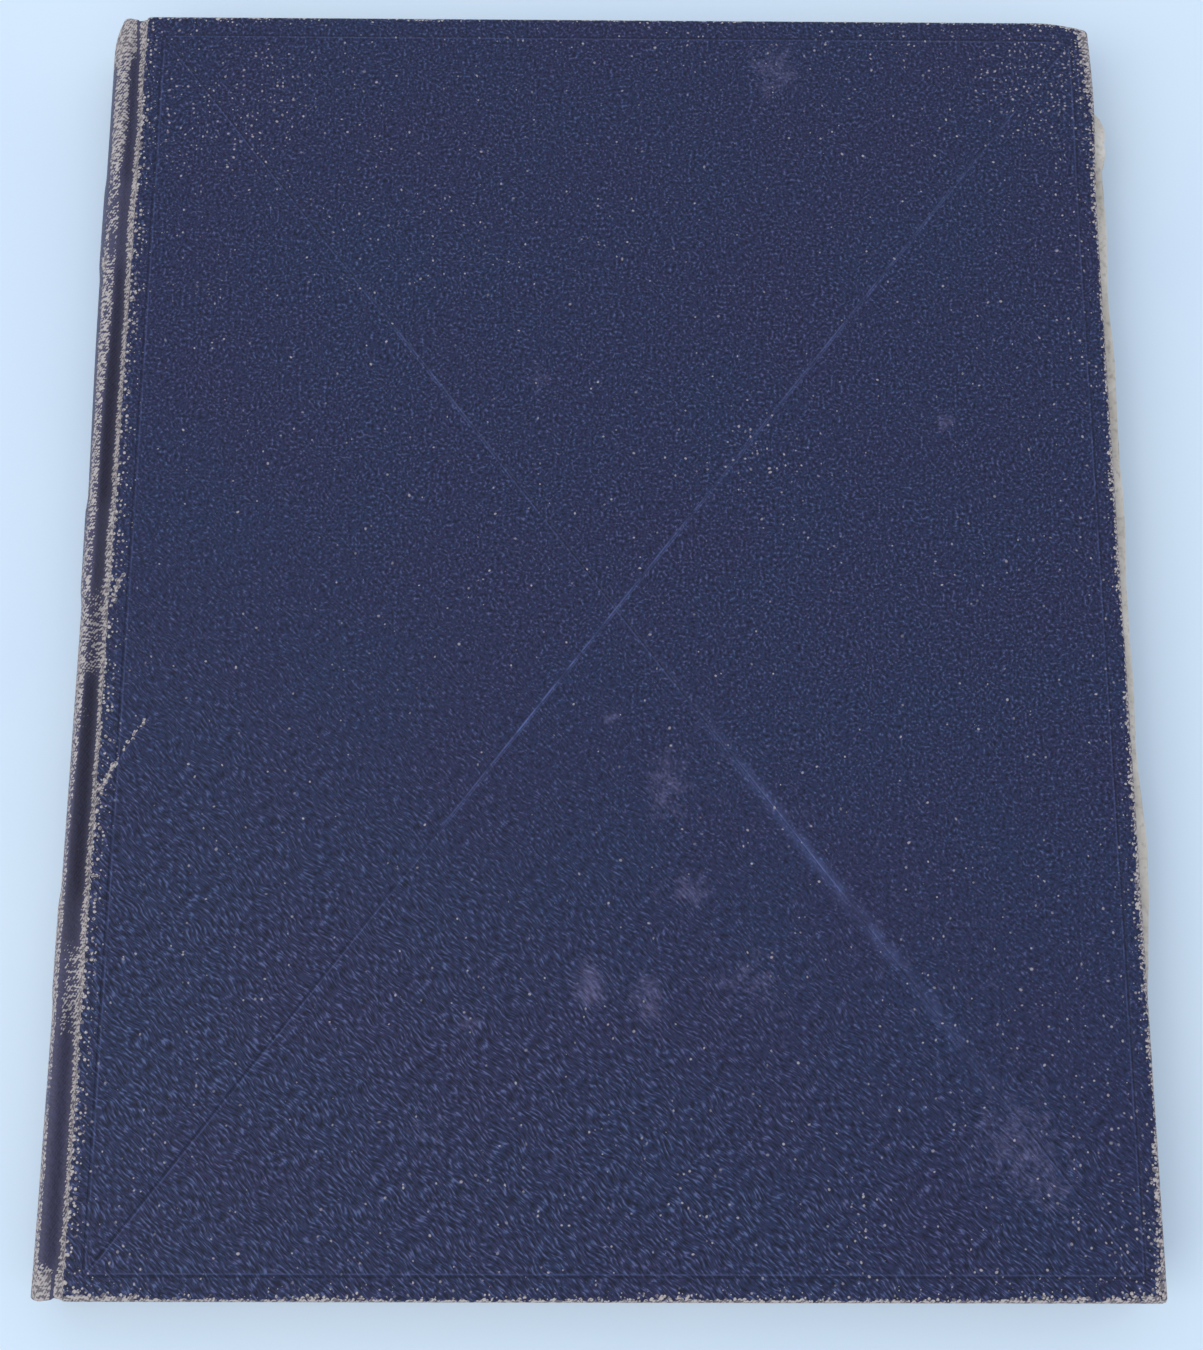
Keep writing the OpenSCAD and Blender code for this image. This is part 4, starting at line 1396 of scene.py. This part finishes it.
@dataclass
class TextBlock:
    """Sewn pages as one solid of leaf layers: ragged at the fore-edge, rounded at the back."""

    sizes: BookSizes
    layers: int = 48
    gatherings: int = 8
    overhang: float = 2.35
    ragged: float = 1.0
    hollow: float = 0.9
    notch: float = 0.14
    fold_in: float = 0.12

    def fore(self, layer: np.ndarray, y: np.ndarray) -> np.ndarray:
        """Fore-edge of the leaf layers.

        The cover's edge plus the overhang that grows towards the front, minus a hollow in the
        middle of the edge, plus waves of single leaves, steps of gatherings and a torn bulge.

        Args:
            layer: share of the thickness from back to front, one for each layer.
            y: places along the book from the tail.
        Returns:
            x for each layer and y.
        """
        s = self.sizes
        t, v = layer[:, None], y[None]
        number = np.arange(len(layer))[:, None]
        gather = np.floor(t * self.gatherings)
        near_top = smooth(0.45, 1.0, t)
        wander = 0.28 * np.sin(v * 2 * math.pi / 83 + 1.22 * gather)
        wander = wander + 0.18 * np.sin(v * 2 * math.pi / 31 + 2.29 * gather)
        single = 0.12 * np.sin(v / 9.7 + 1.9 * number) + 0.07 * np.sin(v / 2.9 + 2.7 * number)
        single = single + 0.1 * np.sin(12.9 * number)
        torn = smooth(222.5, 224, v) * (1 - smooth(232, 234, v))
        torn = self.ragged * near_top * torn * (0.8 + 0.2 * np.sin(3.1 * number + v / 1.7))
        out = (0.1 + 0.9 * smooth(40, 75, v)) * (1 - smooth(232, 238, v))
        hollow = self.hollow * (1 - near_top) * np.sin(math.pi * t)
        notch = self.notch * (np.abs(t * self.gatherings - gather - 0.5) > 0.42)
        lip = (self.overhang + 0.5 * smooth(150, 215, v) + wander + single) * near_top * out
        return s.fore_x - 0.35 + lip + 0.3 * single * (1 - near_top) - hollow - notch + torn

    def build(self, paper: bpy.types.Material) -> None:
        """Makes the closed block from six grids welded along their edges.

        Args:
            paper: finish of the trimmed edges.
        """
        s = self.sizes
        edge = np.linspace(0, 1, self.layers + 1)
        middle = (edge[1:] + edge[:-1]) / 2
        slit = 0.1 / self.layers
        share = np.stack([edge[:-1] + slit, edge[1:] - slit], 1).ravel()
        share[0], share[-1] = 0.0, 1.0
        y = graded(s.page_tail, s.page_head, 0.6, 2.0, 10)
        tips = np.repeat(self.fore(middle, y - s.tail_y), 2, axis=0)
        along = np.array([0.0, 0.35, 0.7, 1.0])
        inner = np.linspace(s.neck_x + 4, s.fore_x - 5, 12)
        h_back = s.half_back * (2 * share - 1)
        back = s.back_x - np.sqrt(s.back_r**2 - h_back**2)
        fold = self.fold_in * np.abs(np.sin(math.pi * self.gatherings * share))[:, None]
        back_cols = back[:, None] + (s.neck_x - back[:, None]) * along
        back_cols[:, :1] += self.fold_in - fold
        cols = np.concatenate([back_cols, np.broadcast_to(inner, (len(share), len(inner)))], 1)
        grow = np.concatenate([1 - smooth(0, 1, along), np.zeros(len(inner) + 1)])
        half = s.half_block + (s.half_back - s.half_block) * grow
        x = np.concatenate([np.repeat(cols[:, :, None], len(y), 2), tips[:, None, :]], 1)
        z = np.broadcast_to(((2 * share - 1)[:, None] * half)[:, :, None], x.shape) + s.mid_z
        verts, quads = self._skin(np.stack([x, np.broadcast_to(y, x.shape), z], -1))
        piece = write_mesh("pages", verts, quads, paper, {}, rim=len(quads))
        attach(piece, "book_block")
        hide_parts("text_block")

    @staticmethod
    def _skin(solid: np.ndarray) -> tuple[np.ndarray, np.ndarray]:
        """Takes the six outer grids of a block of points as one skin.

        Args:
            solid: the points (layers, columns, rows, 3).
        Returns:
            Vertices and quads.
        """
        k, c, r = solid.shape[:3]
        ids = np.arange(k * c * r).reshape(k, c, r)
        faces = [
            grid_quads(ids[-1]),
            grid_quads(ids[0])[:, ::-1],
            grid_quads(ids[:, -1]),
            grid_quads(ids[:, 0])[:, ::-1],
            grid_quads(ids[:, :, 0]),
            grid_quads(ids[:, :, -1])[:, ::-1],
        ]
        used, quads = np.unique(np.concatenate(faces), return_inverse=True)
        return solid.reshape(-1, 3)[used], quads.reshape(-1, 4)


@dataclass
class Endpaper:
    """One folded sheet: pasted down on the board, folded at the shoulder, free as the flyleaf."""

    sizes: BookSizes
    side: Side
    margin: float = 3.0
    fly_margin: float = 2.0
    past_neck: float = 0.3
    gap: float = 0.01
    count: int = 60

    def build(self, name: str, paper: bpy.types.Material) -> None:
        """Makes the sheet as a profile in x and height, carried along the book.

        Args:
            name: piece name.
            paper: its finish.
        """
        s = self.sizes
        wall = s.leaf_t - self.gap
        fold_h = s.half_block + s.leaf_t
        half = s.leaf_t / 2
        n = self.count
        a = np.linspace(math.pi / 2, 1.5 * math.pi, 7)
        down = np.linspace(s.fore_x - self.margin, s.neck_x + self.past_neck, n)
        fly = np.linspace(s.neck_x + self.past_neck, s.fore_x - self.fly_margin, n)
        x = np.concatenate([down, s.neck_x + half + half * np.cos(a), fly])
        top, under = np.full(n, fold_h + half), np.full(n, fold_h - half)
        h = np.concatenate([top, fold_h + half * np.sin(a), under])
        y = np.linspace(s.page_tail, s.page_head, n)
        grid = np.stack(np.broadcast_arrays(x[:, None], y[None], h[:, None]), -1)
        ids = np.arange(grid.shape[0] * grid.shape[1]).reshape(grid.shape[:2])
        flat = grid.reshape(-1, 3)
        quads = grid_quads(ids)[:, ::-1]
        outer = flat + 0.5 * wall * vertex_normals(flat, quads)
        rim = len(open_edges(quads))
        verts, quads = self.side.placed(*thickened(outer, quads, wall), s.mid_z)
        aged = np.tile(self._aged(flat, np.repeat(h > fold_h, len(y))), 2)
        piece = write_mesh(name, verts, quads, paper, {"aged": aged}, rim)
        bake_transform(piece)
        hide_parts(self.side.prefix + "_pastedown", self.side.prefix + "_flyleaf")

    def _aged(self, places: np.ndarray, pasted: np.ndarray) -> np.ndarray:
        """Browning of the sheet, 0 to 1, from the distance d to its nearest open edge in mm.

        It is 0.5 exp(-d / 9), with 0.1 over the cloth turned in under the pastedown and 0.3 at
        the fold.

        Args:
            places: vertices of one face of the sheet.
            pasted: whether each lies on the board.
        Returns:
            A share for each vertex.
        """
        s = self.sizes
        x, y = places[:, 0], places[:, 1]
        ends = np.minimum(y - s.page_tail, s.page_head - y)
        d = np.maximum(np.minimum(ends, s.fore_x - self.fly_margin - x), 0)
        under = np.minimum(s.turn_in - d - self.margin, 6) * pasted
        fold = np.exp(-(((x - s.neck_x) / 2.5) ** 2))
        return 0.5 * np.exp(-d / 9) + 0.1 * smooth(0, 0.8, under) + 0.3 * fold


class InnerPieces:
    """Boards, slips, tapes, lining and strip: CAD meshes that only get their finishes."""

    finishes: dict[PlainFinish, tuple[str, ...]] = {
        MILLBOARD: ("front_board", "back_board", "spine_strip"),
        LINEN_TAPE: tuple(
            kind + place
            for kind in ("tape", "front_slip", "back_slip")
            for place in ("_tail", "_middle", "_head")
        ),
        LINING_CLOTH: ("spine_lining",),
    }

    def dress(self, nodes: dict[str, bpy.types.Object]) -> None:
        """Puts each finish on its nodes' material slots.

        Args:
            nodes: the frame's objects by name.
        """
        for finish, names in self.finishes.items():
            material = finish.build()
            for name in names:
                piece = nodes[name]
                if not piece.material_slots:
                    piece.data.materials.append(material)
                piece.material_slots[0].material = material
            LOG.info("%s on %s", finish.name, ", ".join(names))


@dataclass
class Studio:
    """Pale floor, soft light from the lower left, and the camera of the photograph.

    The camera was fitted to the front cover's edges and ruled frame, for an image of 1203 by 1350.
    """

    sizes: BookSizes
    # Camera place from the joint edge of the front cover's middle line, and its turns in degrees
    eye_mm: tuple[float, float, float] = (92.84, -83.06, 331.7)
    turn_deg: tuple[float, float, float] = (12.40, -0.45, 0.16)
    focal_px: float = 1700.0
    image_px: tuple[int, int] = (1203, 1350)
    sensor_mm: float = 36.0
    floor_half_m: float = 2.5
    floor_z: float = -1e-4
    # Floor as the camera sees it, the painted shade of its faint folds, and the grey that lights
    # the book from below
    floor_hex: str = "#e0f1fc"
    fold_shade_hex: str = "#d3e7fb"
    bounce_hex: str = "#c8c8c8"
    sky_hex: str = "#edf2fd"
    sky_strength: float = 0.87
    lamp_power: float = 15.5
    lamp_place: tuple[float, float, float] = (-1.35, -0.62, 1.6)
    lamp_size: float = 1.5
    lamp_hex: str = "#fffcf2"

    def build(self) -> None:
        """Makes the camera, floor, lamp and world."""
        scene = bpy.context.scene
        scene.view_settings.view_transform = "Standard"
        data = bpy.data.cameras.new("camera")
        data.sensor_width = self.sensor_mm
        data.lens = self.sensor_mm * self.focal_px / max(self.image_px)
        data.clip_start = 0.01
        camera = bpy.data.objects.new("camera", data)
        x, y, z = self.eye_mm
        camera.location = ((self.sizes.joint_x + x) * MM, y * MM, z * MM)
        camera.rotation_euler = tuple(math.radians(a) for a in self.turn_deg)
        scene.collection.objects.link(camera)
        scene.camera = camera
        self._floor()
        self._lights(scene)

    def _floor(self) -> None:
        """A wide pale plane under the book, with painted shade of the cloth's faint folds in its
        tone.
        """
        mesh = bpy.data.meshes.new("floor")
        half, z = self.floor_half_m, self.floor_z
        corners = [(-half, -half, z), (half, -half, z), (half, half, z), (-half, half, z)]
        mesh.from_pydata(corners, [], [(0, 1, 2, 3)])
        floor = bpy.data.objects.new("floor", mesh)
        bpy.context.scene.collection.objects.link(floor)
        finish = Finish("floor_pale_cotton_sheet")
        add = finish.add
        rays = add("LightPath", {}).node.outputs
        links = {0: rays["Is Camera Ray"], 1: rays["Is Glossy Ray"]}
        seen = add("Math", links, operation="MAXIMUM")
        seen = add("Math", {0: seen, 1: rays["Is Transmission Ray"]}, operation="MAXIMUM")
        place = add("TexCoord", {}, "Object")
        links = {"Vector": place, "Scale": 9.0, "Detail": 2.0, "Distortion": 0.6}
        fold = add("TexNoise", links)
        # painted shade of the floor cloth's faint folds
        links = {"Factor": fold, 6: linear(self.floor_hex), 7: linear(self.fold_shade_hex)}
        tinted = add("Mix", links, 2, data_type="RGBA")
        links = {"Factor": seen, 6: linear(self.bounce_hex), 7: tinted}
        tone = add("Mix", links, 2, data_type="RGBA")
        add("OutputMaterial", {"Surface": add("BsdfDiffuse", {"Color": tone})})
        mesh.materials.append(finish.material)

    def _lights(self, scene: bpy.types.Scene) -> None:
        """One soft lamp at the lower left over an even sky.

        Args:
            scene: the scene to light.
        """
        world = bpy.data.worlds.new("sky")
        scene.world = world
        world.use_nodes = True
        sky = world.node_tree.nodes["Background"]
        sky.inputs["Color"].default_value = linear(self.sky_hex)
        sky.inputs["Strength"].default_value = self.sky_strength
        data = bpy.data.lights.new("window", "AREA")
        data.shape = "SQUARE"
        data.size = self.lamp_size
        data.energy = self.lamp_power
        data.color = linear(self.lamp_hex)[:3]
        lamp = bpy.data.objects.new("window", data)
        lamp.location = self.lamp_place
        x, y, z = self.lamp_place
        lamp.rotation_euler = (math.atan2(math.hypot(x, y), z), 0.0, math.atan2(x, -y))
        scene.collection.objects.link(lamp)


class Hardback:
    """The whole book: builds each sub-assembly in order."""

    def __init__(self, nodes: dict[str, bpy.types.Object]) -> None:
        """Keeps the CAD nodes and reads the sizes from them."""
        self.nodes = nodes
        self.sizes = BookSizes.from_frame()

    def build(self) -> None:
        """Builds and dresses the book's pieces."""
        cloth = WornBookCloth().build()
        paper = ENDPAPER.build()
        CaseCloth(self.sizes, Side.FRONT).build("front_case", cloth)
        CaseCloth(self.sizes, Side.BACK, coarse=2.4, fine=0.4).build("back_case", cloth)
        TextBlock(self.sizes).build(PAGE_EDGES.build())
        Endpaper(self.sizes, Side.FRONT).build("front_endpaper", paper)
        Endpaper(self.sizes, Side.BACK).build("back_endpaper", paper)
        InnerPieces().dress(self.nodes)


def main() -> None:
    """Loads the frame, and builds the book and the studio."""
    logging.basicConfig(level=logging.INFO, format="%(name)s: %(message)s")
    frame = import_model()
    book = Hardback(frame["nodes"])
    book.build()
    Studio(book.sizes).build()


if __name__ == "__main__":
    main()
